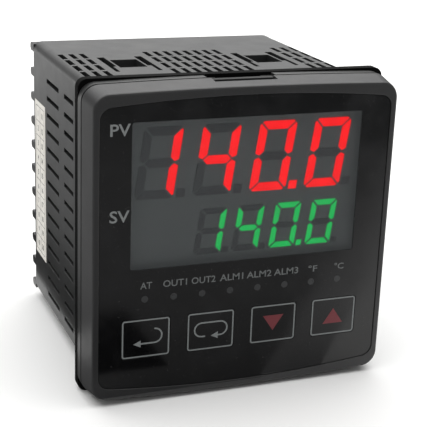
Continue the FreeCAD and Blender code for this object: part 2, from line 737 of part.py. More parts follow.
def make_hook_pockets(body):
    """Two pockets in the top wall and two in the bottom wall, each between a pair of stepped slits."""
    hook_end = "(hook_start + hook_length)"
    shelf = new_sketch(body, "ShelfOutline", "front", "hook_start - hook_floor")
    for way in (-1, 1):
        for level in (-1, 1):
            middle = f"{way} * hook_place"
            low, high = sided(level, f"{CASE_Z} - hook_depth - hook_floor", f"{CASE_Z} - case_wall / 2")
            cheek = "(hook_wide / 2 + hook_cheek)"
            add_rectangle(shelf, f"{middle} - {cheek}", f"{middle} + {cheek}", low, high)
    pad(body, "Shelf", shelf, "hook_length + 2 * hook_floor", backward=True)

    for level, label in ((-1, "Bottom"), (1, "Top")):
        well = new_sketch(body, f"HookWellOutline{label}", "top", f"{level} * {CASE_Z}")
        for way in (-1, 1):
            middle = f"{way} * hook_place"
            add_rectangle(
                well, f"{middle} - hook_wide / 2", f"{middle} + hook_wide / 2", "hook_start", hook_end,
            )
        pocket(body, f"HookWell{label}", well, "hook_depth", backward=level < 0)

    slits = new_sketch(body, "SlitOutlines", "top", "0")
    step = "(slit_start + slit_step)"
    end = "(slit_start + slit_length)"
    for way in (-1, 1):
        for hand in (-1, 1):
            middle = f"{way} * hook_place"
            near = f"{middle} + {hand} * (slit_place - slit_wide / 2)"
            far = f"{middle} + {hand} * (slit_place + slit_wide / 2)"
            throat = f"{middle} + {hand} * (slit_place + slit_wide / 2 - slit_narrow)"
            add_polygon(slits, [
                (throat, "slit_start"), (far, "slit_start"), (far, end),
                (near, end), (near, step), (throat, step),
            ])
    pocket(body, "Slits", slits, both_ways=True)


def make_side_slots(body):
    """Two columns of cooling slots through both side walls."""
    slot = new_sketch(body, "SideSlotOutlines", "side", "0")
    high = "side_slot_top + side_slot_high / 2"
    low = "side_slot_top - side_slot_high / 2"
    add_rectangle(slot, "front_slot_start", "front_slot_start + front_slot_length", low, high)
    add_rectangle(slot, "rear_slot_start", "rear_slot_start + rear_slot_length", low, high)
    pair = pocket(body, "SideSlot", slot, both_ways=True)
    rows = repeat(
        body, "SideSlots", [pair], "Z", "(side_slot_rows - 1) * side_slot_pitch", "side_slot_rows",
    )
    rows.Reversed = True


def make_wall_slots(body):
    """Three groups of cooling slots in the top wall, and in the bottom wall with longer ones."""
    middle_first = "-(middle_slots - 1) / 2 * top_slot_pitch"
    edge_run = "(edge_slots - 1) * top_slot_pitch"
    groups = (
        ("Middle", middle_first, "middle_slots"),
        ("Left", f"-edge_slot_place - {edge_run}", "edge_slots"),
        ("Right", "edge_slot_place", "edge_slots"),
    )
    walls = (("Top", CASE_Z, "top"), ("Bottom", f"-{CASE_Z} + case_wall", "bottom"))
    for wall, face, sizes in walls:
        for label, first, count in groups:
            slot = new_sketch(body, f"{wall}SlotOutline{label}", "top", face)
            add_rectangle(
                slot, f"{first} - top_slot_wide / 2", f"{first} + top_slot_wide / 2",
                "top_slot_start", f"top_slot_start + {sizes}_slot_length",
            )
            cut = pocket(body, f"{wall}Slot{label}", slot, "case_wall")
            repeat(
                body, f"{wall}Slots{label}", [cut], "X", f"({count} - 1) * top_slot_pitch", count,
                "Y", f"({sizes}_slot_rows - 1) * {sizes}_slot_row_pitch", f"{sizes}_slot_rows",
            )


def make_gasket():
    """The rubber sealing ring between the flange and the panel."""
    body = new_body("panel_gasket")
    ring = new_sketch(body, "GasketOutline", "front", FLANGE_REAR)
    outer_z = "(bezel_height / 2 + gasket_proud)"
    add_rectangle(ring, "-bezel_width / 2", "bezel_width / 2", f"-{outer_z}", outer_z, "gasket_corner")
    half_x = f"({CASE_X} + gasket_gap)"
    half_z = f"({CASE_Z} + gasket_gap)"
    add_rectangle(ring, f"-{half_x}", half_x, f"-{half_z}", half_z, "case_corner + gasket_gap")
    pad(body, "Gasket", ring, "gasket_thick", backward=True)


def make_display_board():
    """The board behind the front, and the four screws that hold it to the bezel's posts."""
    body = new_body("display_board")
    outline = new_sketch(body, "BoardOutline", "front", BOARD_FRONT)
    add_rectangle(outline, f"-{BOARD_X}", BOARD_X, f"-{BOARD_Z}", BOARD_Z)
    pad(body, "Board", outline, "board_thick", backward=True)
    holes = new_sketch(body, "BoardHoleOutlines", "front", BOARD_FRONT)
    for across, up in board_corners():
        add_regular(holes, across, up, "board_screw + 2 * screw_gap", SHANK_SIDES)
    pocket(body, "BoardHoles", holes)

    body = new_body("board_screws")
    heads = new_sketch(body, "HeadOutlines", "front", BOARD_REAR)
    shanks = new_sketch(body, "ShankOutlines", "front", BOARD_REAR)
    for across, up in board_corners():
        add_regular(heads, across, up, "board_screw_head", HEAD_SIDES)
        add_regular(shanks, across, up, "board_screw", SHANK_SIDES)
    pad(body, "Heads", heads, "board_screw_high", backward=True)
    pad(body, "Shanks", shanks, "board_screw_length")


def make_display_module():
    """The two-row display module that stands on the board behind the window."""
    body = new_body("display_module")
    outline = new_sketch(body, "ModuleOutline", "front", MODULE_FRONT)
    add_rectangle(
        outline, f"-({WINDOW_X} + module_side)", f"{WINDOW_X} + module_side",
        f"{WINDOW_LOW} - module_bottom", f"{WINDOW_HIGH} + module_top",
    )
    pad(body, "Module", outline, f"{BOARD_FRONT} - {MODULE_FRONT}", backward=True)


def segment_outlines(width, height, stroke, joint, cut):
    """The seven strokes of an upright digit with cut corners, each a list of (across, up) corners."""
    middle = height / 2
    over, under = (cut + joint) / 2, (cut - joint) / 2
    top = [(over, height - under), (cut, height), (width - cut, height), (width - over, height - under),
           (width - stroke - joint, height - stroke), (stroke + joint, height - stroke)]
    side = [(0, height - cut), (under, height - over), (stroke, height - stroke - joint),
            (stroke, middle + stroke / 2 + joint), (stroke / 2, middle + joint),
            (0, middle + stroke / 4 + joint)]
    bar = [(stroke / 2 + joint, middle), (stroke + joint, middle + stroke / 2),
           (width - stroke - joint, middle + stroke / 2), (width - stroke / 2 - joint, middle),
           (width - stroke - joint, middle - stroke / 2), (stroke + joint, middle - stroke / 2)]

    def across(points):
        return [(width - x, z) for x, z in points]

    def down(points):
        return [(x, height - z) for x, z in points]

    return {
        "a": top, "b": across(side), "c": across(down(side)), "d": down(top),
        "e": down(side), "f": side, "g": bar,
    }


SHOWN = {"1": "bc", "4": "bcfg", "0": "abcdef"}


def make_digits(row_name, reading, point_after):
    """One row of slanted digits as two sets of tiles on the module: those that glow and the rest."""
    width, height = value(f"{row_name}_width"), value(f"{row_name}_height")
    stroke, pitch = value(f"{row_name}_stroke"), value(f"{row_name}_pitch")
    right, level = value(f"{row_name}_right"), value(f"{row_name}_level")
    slant = math.tan(math.radians(value("digit_slant")))
    thick = value("segment_thick")
    front = value(MODULE_FRONT) - thick
    cut = value("segment_corner") * stroke
    outlines = segment_outlines(width, height, stroke, value("segment_joint"), cut)
    point_start = width + stroke / 3
    outlines["p"] = [(point_start, 0), (point_start + stroke, 0),
                     (point_start + stroke, stroke), (point_start, stroke)]
    lit, unlit = [], []
    for place, digit in enumerate(reading):
        left = right - width - (len(reading) - 1 - place) * pitch
        glowing = SHOWN[digit] + ("p" if place == point_after else "")
        for name, outline in outlines.items():
            corners = [Vector(left + x + z * slant, front, level - height / 2 + z) for x, z in outline]
            wire = Part.makePolygon(corners + corners[:1])
            tile = Part.Face(wire).extrude(Vector(0, thick, 0))
            (lit if name in glowing else unlit).append(tile)
    for state, tiles in (("lit", lit), ("unlit", unlit)):
        feature = doc.addObject("Part::Feature", f"{row_name}_segments_{state}")
        feature.Label = f"{row_name}_segments_{state}"
        feature.Shape = Part.makeCompound(tiles)


def make_lamps():
    """Eight lamps on the display board, each with a light pipe that stands behind the film."""
    led_front = f"({BOARD_FRONT} - led_high)"
    body = new_body("indicator_leds")
    led = new_sketch(body, "LedOutline", "front", led_front)
    add_square(led, FIRST_LAMP, "lamp_level", "led_width")
    chip = pad(body, "Led", led, "led_high", backward=True)
    repeat(body, "Leds", [chip], "X", LAMP_RUN, str(LAMPS))

    body = new_body("light_pipes")
    pipe = new_sketch(body, "PipeOutline", "front", OVERLAY_REAR)
    add_square(pipe, FIRST_LAMP, "lamp_level", "lamp_width")
    rod = pad(body, "Pipe", pipe, f"{led_front} - module_gap - {OVERLAY_REAR}", backward=True)
    repeat(body, "Pipes", [rod], "X", LAMP_RUN, str(LAMPS))


def make_rear_cover():
    """The cover that closes the sleeve, raised between the two terminal blocks and slotted there."""
    body = new_body("rear_cover")
    plate = new_sketch(body, "PlateOutline", "front", "cover_place")
    add_bevelled(plate, f"-{BLOCK_OUTER}", BLOCK_OUTER, f"-{BLOCK_Z}", BLOCK_Z, "hollow_bevel")
    pad(body, "Plate", plate, "cover_thick", backward=True)
    raised = new_sketch(body, "RaisedOutline", "front", COVER_REAR)
    add_rectangle(raised, "-cover_raised / 2", "cover_raised / 2", f"-{BLOCK_Z}", BLOCK_Z)
    pad(body, "Raised", raised, f"{CASE_END} - {COVER_REAR}", backward=True)
    inside = new_sketch(body, "InsideOutline", "front", "cover_place")
    add_rectangle(
        inside, "-cover_raised / 2 + cover_thick", "cover_raised / 2 - cover_thick",
        f"-{BLOCK_Z} + cover_thick", f"{BLOCK_Z} - cover_thick",
    )
    pocket(body, "Inside", inside, f"{CASE_END} - cover_place - cover_thick")

    tails = new_sketch(body, "TailSlotOutlines", "front", "cover_place")
    for hand in SIDES.values():
        left, right = sided(hand, *TAIL_SPAN)
        add_rectangle(tails, left, right, TAIL_LOW, f"{TAIL_HIGH} + {TERMINAL_RUN}")
    pocket(body, "TailSlots", tails, "cover_thick")

    vent = new_sketch(body, "RearSlotOutline", "front", f"{CASE_END} - cover_thick")
    columns = "((rear_slot_columns - 1) * top_slot_pitch)"
    add_rectangle(
        vent, f"-{columns} / 2 - top_slot_wide / 2", f"-{columns} / 2 + top_slot_wide / 2",
        "-rear_slot_row_pitch / 2 - rear_slot_tall / 2", "-rear_slot_row_pitch / 2 + rear_slot_tall / 2",
    )
    slot = pocket(body, "RearSlot", vent, "2 * cover_thick")
    repeat(
        body, "RearSlots", [slot], "X", columns, "rear_slot_columns", "Z", "rear_slot_row_pitch", "2",
    )


def make_terminal_block(name, hand):
    """A comb of barriers on a floor, with a wall on its inner side and a bore for each screw."""
    body = new_body(f"terminal_block_{name}")
    floor = new_sketch(body, f"FloorOutline_{name}", "front", COVER_REAR)
    left, right = sided(hand, BLOCK_INNER, BLOCK_OUTER)
    add_rectangle(floor, left, right, f"-{BLOCK_Z}", BLOCK_Z)
    pad(body, f"Floor_{name}", floor, "block_floor", backward=True)
    wall = new_sketch(body, f"WallOutline_{name}", "front", FLOOR)
    left, right = sided(hand, BLOCK_INNER, f"{BLOCK_INNER} + block_wall")
    add_rectangle(wall, left, right, f"-{BLOCK_Z}", BLOCK_Z)
    pad(body, f"Wall_{name}", wall, f"{CASE_END} - {FLOOR}", backward=True)

    lowest = f"({FIRST_TERMINAL} - barrier_pitch / 2)"
    low, high = f"{lowest} - barrier_thick / 2", f"{lowest} + barrier_thick / 2"
    root = new_sketch(body, f"RootOutline_{name}", "front", FLOOR)
    left, right = sided(hand, BLOCK_INNER, BLOCK_OUTER)
    add_rectangle(root, left, right, low, high)
    root_pad = pad(body, f"Root_{name}", root, f"{CASE_END} - {FLOOR}", backward=True)
    tip = new_sketch(body, f"TipOutline_{name}", "side", f"{hand} * {BLOCK_INNER}")
    add_polygon(tip, [
        (CASE_END, low), (f"{BARRIER_TIP} - barrier_chamfer", low),
        (BARRIER_TIP, f"{low} + barrier_chamfer"), (BARRIER_TIP, f"{high} - barrier_chamfer"),
        (f"{BARRIER_TIP} - barrier_chamfer", high), (CASE_END, high),
    ])
    tip_pad = pad(body, f"Tip_{name}", tip, f"{CASE_X} - {BLOCK_INNER}", backward=hand < 0)
    repeat(
        body, f"Barriers_{name}", [root_pad, tip_pad], "Z", "terminals * barrier_pitch", "terminals + 1",
    )
    ends = new_sketch(body, f"EndReliefOutline_{name}", "side", "0")
    add_rectangle(ends, "cover_place", CASE_END, BLOCK_Z, f"{CASE_Z} + barrier_thick")
    add_rectangle(ends, "cover_place", CASE_END, f"-({CASE_Z} + barrier_thick)", f"-{BLOCK_Z}")
    pocket(body, f"EndRelief_{name}", ends, both_ways=True)

    slots = new_sketch(body, f"TailSlotOutline_{name}", "front", COVER_REAR)
    left, right = sided(hand, *TAIL_SPAN)
    add_rectangle(slots, left, right, TAIL_LOW, TAIL_HIGH)
    slot = pocket(body, f"TailSlot_{name}", slots, "block_floor")
    bore = new_sketch(body, f"ScrewBoreOutline_{name}", "front", FLOOR)
    across = f"{hand} * {TERMINAL_X}"
    add_regular(bore, across, FIRST_TERMINAL, "screw_width + 2 * screw_gap", SHANK_SIDES)
    hole = pocket(body, f"ScrewBore_{name}", bore, "block_floor - contact_thick", backward=True)
    repeat(body, f"FloorHoles_{name}", [slot, hole], "Z", TERMINAL_RUN, "terminals")


def make_terminals(name, hand):
    """A side's contacts, clamp plates and screws, one set between each two barriers."""
    middle = f"{hand} * {TERMINAL_X}"
    body = new_body(f"terminal_contacts_{name}")
    plate = new_sketch(body, f"ContactOutline_{name}", "front", FLOOR)
    left, right = sided(hand, TAIL_INNER, CONTACT_OUTER)
    add_rectangle(
        plate, left, right, f"{FIRST_TERMINAL} - contact_wide / 2", f"{FIRST_TERMINAL} + contact_wide / 2",
    )
    strip = pad(body, f"Contact_{name}", plate, "contact_thick", backward=True)
    tail = new_sketch(body, f"TailOutline_{name}", "front", FLOOR)
    left, right = sided(hand, TAIL_INNER, "side_board_place")
    add_rectangle(
        tail, left, right, f"{FIRST_TERMINAL} - tail_wide / 2", f"{FIRST_TERMINAL} + tail_wide / 2",
    )
    leg = pad(body, f"Tail_{name}", tail, f"{FLOOR} - cover_place + tail_length")
    bore = new_sketch(body, f"ContactBoreOutline_{name}", "front", FLOOR)
    add_regular(bore, middle, FIRST_TERMINAL, "screw_width + 2 * screw_gap", SHANK_SIDES)
    hole = pocket(body, f"ContactBore_{name}", bore, "contact_thick")
    repeat(body, f"Contacts_{name}", [strip, leg, hole], "Z", TERMINAL_RUN, "terminals")

    body = new_body(f"terminal_clamps_{name}")
    clamp = new_sketch(body, f"ClampOutline_{name}", "front", CONTACT_TOP)
    add_square(clamp, middle, FIRST_TERMINAL, "clamp_wide")
    add_regular(clamp, middle, FIRST_TERMINAL, "screw_width + 2 * screw_gap", SHANK_SIDES)
    washer = pad(body, f"Clamp_{name}", clamp, "clamp_thick", backward=True)
    repeat(body, f"Clamps_{name}", [washer], "Z", TERMINAL_RUN, "terminals")

    body = new_body(f"terminal_screws_{name}")
    head = new_sketch(body, f"HeadOutline_{name}", "front", CLAMP_TOP)
    add_regular(head, middle, FIRST_TERMINAL, "screw_head", HEAD_SIDES)
    top = pad(body, f"Head_{name}", head, "screw_head_high", backward=True)
    shank = new_sketch(body, f"ShankOutline_{name}", "front", CLAMP_TOP)
    add_regular(shank, middle, FIRST_TERMINAL, "screw_width", SHANK_SIDES)
    stem = pad(body, f"Shank_{name}", shank, "screw_length")
    slot = new_sketch(body, f"SlotOutline_{name}", "front", f"{CLAMP_TOP} + screw_head_high")
    add_rectangle(
        slot, f"{middle} - screw_head / 2", f"{middle} + screw_head / 2",
        f"{FIRST_TERMINAL} - screw_slot / 2", f"{FIRST_TERMINAL} + screw_slot / 2",
    )
    cut = pocket(body, f"Slot_{name}", slot, "screw_slot_deep", backward=True)
    repeat(body, f"Screws_{name}", [top, stem, cut], "Z", TERMINAL_RUN, "terminals")


def make_side_boards():
    """The two circuit boards that stand in the sleeve between the display board and the terminals."""
    length = f"side_board_end - {BOARD_REAR}"
    height = (f"-{BOARD_Z}", f"2 * {BOARD_Z}")
    block("control_board", ("-side_board_place - board_thick", "board_thick"), (BOARD_REAR, length), height)
    block("power_board", ("side_board_place", "board_thick"), (BOARD_REAR, length), height)


def make_board_parts():
    """The larger parts on the two circuit boards, each standing on its board's inner face."""
    core = "side_board_place - core_deep"
    block("transformer_core", (core, "core_deep"), ("core_start", "core_length"), ("core_low", "core_high"))
    across = (f"{core} + winding_inset", "core_deep - 2 * winding_inset")
    along = ("core_start + winding_inset", "core_length - 2 * winding_inset")
    winding = doc.addObject("Part::Compound", "transformer_winding")
    winding.Label = "transformer_winding"
    winding.Links = [
        block("winding_upper", across, along, ("core_low + core_high", "winding_proud")),
        block("winding_lower", across, along, ("core_low - winding_proud", "winding_proud")),
    ]
    body = new_body("filter_capacitors")
    feet = new_sketch(body, "CanOutlines", "side", "side_board_place")
    add_regular(feet, "can_start", "can_level", "can_width", 2 * HEAD_SIDES)
    add_regular(feet, "can_start + can_width + can_gap", "can_level", "can_width", 2 * HEAD_SIDES)
    pad(body, "Cans", feet, "can_high", backward=True)

    body = new_body("output_relays")
    relay = new_sketch(body, "RelayOutline", "side", "-side_board_place")
    add_rectangle(
        relay, "relay_start", "relay_start + relay_length", "relay_low", "relay_low + relay_wide",
    )
    first = pad(body, "Relay", relay, "relay_high")
    repeat(body, "Relays", [first], "Z", "2 * relay_pitch", "3")

    body = new_body("control_chips")
    chips = new_sketch(body, "ChipOutlines", "side", "-side_board_place")
    add_rectangle(chips, "chip_start", "chip_start + chip_wide", "chip_low", "chip_low + chip_wide")
    add_rectangle(
        chips, "chip_start", "chip_start + small_chip_wide",
        "small_chip_low", "small_chip_low + small_chip_wide",
    )
    pad(body, "Chips", chips, "chip_high")


def make_label():
    """The rating label stuck on the left wall."""
    block("side_label", (f"-{CASE_X} - label_thick", "label_thick"),
          ("label_start", "label_length"), ("label_low", "label_high"))


def main():
    make_bezel()
    make_overlay()
    make_window()
    make_keys()
    make_switches()
    make_case()
    make_gasket()
    make_display_board()
    make_display_module()
    make_digits("pv", "1400", 2)
    make_digits("sv", "1400", 2)
    make_lamps()
    make_rear_cover()
    for name, hand in SIDES.items():
        make_terminal_block(name, hand)
        make_terminals(name, hand)
    make_side_boards()
    make_board_parts()
    make_label()
    doc.recompute()
    check_objects()
    export_parts()


def check_objects():
    """Stop if a feature failed or a sub-part has no valid shape."""
    for thing in doc.Objects:
        if "Invalid" in thing.State or "Error" in thing.State:
            raise RuntimeError(f"{thing.Label}: {thing.State}")
    for part in sub_parts():
        if part.Shape.isNull() or not part.Shape.isValid():
            raise RuntimeError(f"{part.Label}: no valid shape")


def sub_parts():
    """The finished pieces: bodies and part objects that no other object uses."""
    kinds = ("PartDesign::Body", "Part::Box", "Part::Compound", "Part::Feature")
    return [
        thing for thing in doc.Objects
        if thing.TypeId in kinds and not any(user.TypeId == "Part::Compound" for user in thing.InList)
    ]


def export_parts():
    os.makedirs("parts", exist_ok=True)
    for part in sub_parts():
        part.Shape.exportStep(f"parts/{part.Label}.step")
        print(part.Label, len(part.Shape.Solids), "solids", round(part.Shape.Volume), "mm3")


main()
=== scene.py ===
"""Dresses the panel temperature controller: finishes, printed marks, real screws, light and camera.

Metres, in the frame's own axes: +X to the right of the front, +Y into the panel, +Z up.
"""
import json
import logging
import math
import random
from abc import ABC, abstractmethod
from collections.abc import Callable
from dataclasses import dataclass, field
from enum import Enum

import bmesh
import bpy
from mathutils import Matrix, Vector


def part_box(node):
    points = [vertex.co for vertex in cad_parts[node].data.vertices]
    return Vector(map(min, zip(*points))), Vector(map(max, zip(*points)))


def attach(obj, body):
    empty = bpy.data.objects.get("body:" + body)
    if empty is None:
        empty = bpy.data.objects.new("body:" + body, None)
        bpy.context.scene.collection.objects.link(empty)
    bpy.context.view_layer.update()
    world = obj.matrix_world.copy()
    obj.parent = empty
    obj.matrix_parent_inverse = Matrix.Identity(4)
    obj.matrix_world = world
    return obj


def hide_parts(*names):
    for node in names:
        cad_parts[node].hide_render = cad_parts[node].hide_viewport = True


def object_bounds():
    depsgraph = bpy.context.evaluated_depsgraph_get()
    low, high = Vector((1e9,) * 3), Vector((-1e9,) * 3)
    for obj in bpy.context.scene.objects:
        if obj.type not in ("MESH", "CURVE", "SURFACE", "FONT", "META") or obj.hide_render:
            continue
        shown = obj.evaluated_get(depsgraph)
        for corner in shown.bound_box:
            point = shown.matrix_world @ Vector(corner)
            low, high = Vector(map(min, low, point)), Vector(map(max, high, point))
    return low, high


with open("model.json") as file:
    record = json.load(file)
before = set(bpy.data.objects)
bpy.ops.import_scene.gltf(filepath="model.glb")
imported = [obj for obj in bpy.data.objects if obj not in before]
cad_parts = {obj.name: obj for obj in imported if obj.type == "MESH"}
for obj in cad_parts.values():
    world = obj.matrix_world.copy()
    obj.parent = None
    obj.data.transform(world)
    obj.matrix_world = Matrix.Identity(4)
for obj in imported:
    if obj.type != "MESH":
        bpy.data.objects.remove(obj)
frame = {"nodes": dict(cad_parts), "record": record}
CAD_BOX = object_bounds()

log = logging.getLogger("controller")

MM = 0.001
PRINT_THICK = 0.03 * MM
PRINT_PROUD = 0.3 * PRINT_THICK  # how far the middle of the ink stands off its face
LETTER_BOLD = 0.014
TERMINALS = 10

Node = bpy.types.Node
Socket = bpy.types.NodeSocket
Piece = bpy.types.Object
Colour = tuple[float, float, float, float]
Triple = tuple[float, float, float]
Pair = tuple[float, float]


def rgb(red: float, green: float, blue: float) -> Colour:
    """A linear colour from the three display values of 0 to 255.

    Args:
        red: Red display value.
        green: Green display value.
        blue: Blue display value.

    Returns:
        The linear colour with full opacity.
    """
    def linear(channel: float) -> float:
        """The linear value of one channel, by the sRGB curve."""
        share = channel / 255
        return share / 12.92 if share <= 0.04045 else ((share + 0.055) / 1.055) ** 2.4

    return linear(red), linear(green), linear(blue), 1.0


class Side(Enum):
    """The two terminal rows, and the way each lies along X."""

    LEFT = -1
    RIGHT = 1


class Facing(Enum):
    """The ways that a printed mark can face, each as its turn about Z in degrees."""

    FRONT = 0
    REAR = 180
    LEFT = -90


class Key(Enum):
    """The four keys from left to right, each by its name in the frame."""

    ENTER = "enter"
    LOOP = "loop"
    DOWN = "down"
    UP = "up"


# ---------------------------------------------------------------- node graphs


@dataclass
class Graph:
    """A node tree with short ways to add and join its nodes."""

    tree: bpy.types.NodeTree

    def add(self, kind: str, **settings: object) -> Node:
        """Add a node and set its properties.

        Args:
            kind: The node's type name, such as ShaderNodeBump.
            **settings: Properties of the node.

        Returns:
            The new node.
        """
        node = self.tree.nodes.new(kind)
        for name, value in settings.items():
            setattr(node, name, value)
        return node

    def join(self, source: Socket, target: Socket) -> None:
        """Join an output to an input."""
        self.tree.links.new(source, target)

    def feed(self, target: Socket, value: object) -> None:
        """Give an input either a link or a constant.

        Args:
            target: The input.
            value: A socket to link from, or a number or colour.
        """
        if isinstance(value, Socket):
            self.join(value, target)
        else:
            target.default_value = value

    def fill(self, node: Node, **values: object) -> Node:
        """Feed a node's inputs by name.

        Args:
            node: The node.
            **values: A socket, number or colour for each input, named with _ for a space.

        Returns:
            The same node.
        """
        for name, value in values.items():
            self.feed(node.inputs[name.replace("_", " ")], value)
        return node

    def position(self) -> Socket:
        """The piece's own coordinates."""
        return self.add("ShaderNodeTexCoord").outputs["Object"]

    def stretched(self, place: Socket, scale: Triple) -> Socket:
        """Coordinates scaled along each axis."""
        return self.fill(self.add("ShaderNodeMapping"), Vector=place, Scale=scale).outputs[0]

    def math(self, operation: str, *values: object) -> Socket:
        """A Math node on two or three values.

        Args:
            operation: The node's operation, such as MULTIPLY.
            *values: Sockets or numbers.

        Returns:
            The result's socket.
        """
        node = self.add("ShaderNodeMath", operation=operation)
        for target, value in zip(node.inputs, values):
            self.feed(target, value)
        return node.outputs[0]

    def scaled(self, vector: object, factor: object) -> Socket:
        """A colour or a vector times a factor."""
        node = self.add("ShaderNodeVectorMath", operation="SCALE")
        return self.fill(node, Vector=vector, Scale=factor).outputs[0]

    def blend(self, share: object, under: object, over: object) -> Socket:
        """A colour that goes from one to another.

        Args:
            share: How much of the second colour, 0 to 1.
            under: The first colour.
            over: The second colour.

        Returns:
            The mixed colour's socket.
        """
        node = self.fill(self.add("ShaderNodeMix", data_type="RGBA"), Factor=share)
        self.feed(node.inputs[6], under)
        self.feed(node.inputs[7], over)
        return node.outputs[2]

    def lay(self, mask: object, share: float, under: object, over: object) -> Socket:
        """Lay a colour over another where a mask says, up to a share of it."""
        return self.blend(self.math("MULTIPLY", mask, share), under, over)

    def spread(self, value: Socket, between: Pair, gives: Pair = (0.0, 1.0)) -> Socket:
        """Map a value's range onto another range, held at both ends.

        Args:
            value: The socket to map.
            between: The two values that give the ends of the result.
            gives: The result's two ends.

        Returns:
            The mapped value's socket.
        """
        node = self.fill(self.add("ShaderNodeMapRange"), Value=value)
        for name, number in zip(("From Min", "From Max", "To Min", "To Max"), (*between, *gives)):
            node.inputs[name].default_value = number
        return node.outputs[0]

    def noise(self, place: Socket, scale: object, detail: float = 3.0) -> Socket:
        """Noise on a position.

        Args:
            place: The position.
            scale: Noise scale, in patches per metre.
            detail: How many finer octaves are laid over it.

        Returns:
            The noise value's socket.
        """
        node = self.add("ShaderNodeTexNoise")
        return self.fill(node, Vector=place, Scale=scale, Detail=detail).outputs[0]

    def patches(
        self, place: Socket, scale: float, detail: float, between: Pair, gives: Pair = (0.0, 1.0),
    ) -> Socket:
        """Noise whose middle range is spread onto another range."""
        return self.spread(self.noise(place, scale, detail), between, gives)

    def bump(self, shader: Node, **values: object) -> None:
        """Bump a shader's normal, with the Bump node's inputs by name."""
        self.join(self.fill(self.add("ShaderNodeBump"), **values).outputs[0], shader.inputs["Normal"])


class SharedEffect(ABC):
    """A surface effect that several finishes use, kept as one node group."""

    name: str = ""
    inputs: tuple[tuple[str, str, object], ...] = ()
    outputs: tuple[tuple[str, str], ...] = ()

    @classmethod
    def group(cls) -> bpy.types.NodeTree:
        """The effect's node group, built the first time that it is asked for."""
        if cls.name in bpy.data.node_groups:
            return bpy.data.node_groups[cls.name]
        tree = bpy.data.node_groups.new(cls.name, "ShaderNodeTree")
        for label, kind, value in cls.inputs:
            socket = tree.interface.new_socket(name=label, in_out="INPUT", socket_type=kind)
            socket.default_value = value
        for label, kind in cls.outputs:
            tree.interface.new_socket(name=label, in_out="OUTPUT", socket_type=kind)
        graph = Graph(tree)
        start = graph.add("NodeGroupInput")
        end = graph.add("NodeGroupOutput")
        cls.build(graph, start, end)
        return tree

    @classmethod
    @abstractmethod
    def build(cls, graph: Graph, start: Node, end: Node) -> None:
        """Lay out the group's nodes.

        Args:
            graph: The group's graph.
            start: Its Group Input node.
            end: Its Group Output node.
        """

    @classmethod
    def place(cls, graph: Graph, **values: object) -> bpy.types.bpy_prop_collection:
        """Put the group in a material.

        Args:
            graph: The material's graph.
            **values: Its inputs by name, with _ for a space.

        Returns:
            The group node's outputs.
        """
        return graph.fill(graph.add("ShaderNodeGroup", node_tree=cls.group()), **values).outputs


class MouldGrain(SharedEffect):
    """The fine texture of a moulding: small pits, a cloudy colour and an uneven sheen."""

    name = "Mould Grain"
    inputs = (
        ("Colour", "NodeSocketColor", (0.02, 0.02, 0.02, 1.0)),
        ("Grain Scale", "NodeSocketFloat", 2600.0),
        ("Cloud", "NodeSocketFloat", 0.25),
        ("Sheen", "NodeSocketFloat", 0.45),
        ("Sheen Spread", "NodeSocketFloat", 0.025),
    )
    outputs = (
        ("Colour", "NodeSocketColor"),
        ("Roughness", "NodeSocketFloat"),
        ("Height", "NodeSocketFloat"),
    )
    pit_floor = 0.4
    pit_detail = 2.0
    swing = (-1.0, 1.0)

    @classmethod
    def build(cls, graph: Graph, start: Node, end: Node) -> None:
        """Lay out pits from two textures, and clouds and an uneven sheen from slow noises."""
        place = graph.position()
        given = start.outputs
        cells = graph.add("ShaderNodeTexVoronoi", feature="SMOOTH_F1")
        graph.fill(cells, Vector=place, Scale=given["Grain Scale"])
        pits = graph.math("ADD", cells.outputs["Distance"], cls.pit_floor)
        fine = graph.noise(place, given["Grain Scale"], cls.pit_detail)
        cloud = graph.patches(place, scale=55.0, detail=4.0, between=(0.3, 0.7), gives=cls.swing)
        streak = graph.patches(place, scale=140.0, detail=5.0, between=(0.3, 0.7), gives=cls.swing)
        change = graph.math("MULTIPLY_ADD", cloud, given["Cloud"], 1.0)
        uneven = graph.math("MULTIPLY", streak, given["Sheen Spread"])
        graph.fill(
            end, Colour=graph.scaled(given["Colour"], change),
            Roughness=graph.math("ADD", given["Sheen"], uneven), Height=graph.math("MULTIPLY", fine, pits),
        )


class EdgeWear(SharedEffect):
    """Rounded edges, rubbed a little along their length."""

    name = "Edge Wear"
    inputs = (
        ("Radius", "NodeSocketFloat", 0.00025),
        ("Patchiness", "NodeSocketFloat", 0.5),
    )
    outputs = (
        ("Mask", "NodeSocketFloat"),
        ("Normal", "NodeSocketVector"),
    )
    bevel_samples = 6
    agreement = (0.995, 0.85)

    @classmethod
    def build(cls, graph: Graph, start: Node, end: Node) -> None:
        """Compare the rounded normal with the flat one, and break the edge up with noise."""
        soft = graph.fill(
            graph.add("ShaderNodeBevel", samples=cls.bevel_samples), Radius=start.outputs["Radius"],
        ).outputs[0]
        flat = graph.add("ShaderNodeNewGeometry").outputs["Normal"]
        facing = graph.add("ShaderNodeVectorMath", operation="DOT_PRODUCT")
        graph.join(soft, facing.inputs[0])
        graph.join(flat, facing.inputs[1])
        edge = graph.spread(facing.outputs["Value"], cls.agreement)
        patch = graph.patches(graph.position(), scale=420.0, detail=4.0, between=(0.35, 0.65))
        gaps = graph.math("SUBTRACT", patch, 1.0)
        share = graph.math("MULTIPLY_ADD", gaps, start.outputs["Patchiness"], 1.0)
        graph.fill(end, Mask=graph.math("MULTIPLY", edge, share), Normal=soft)


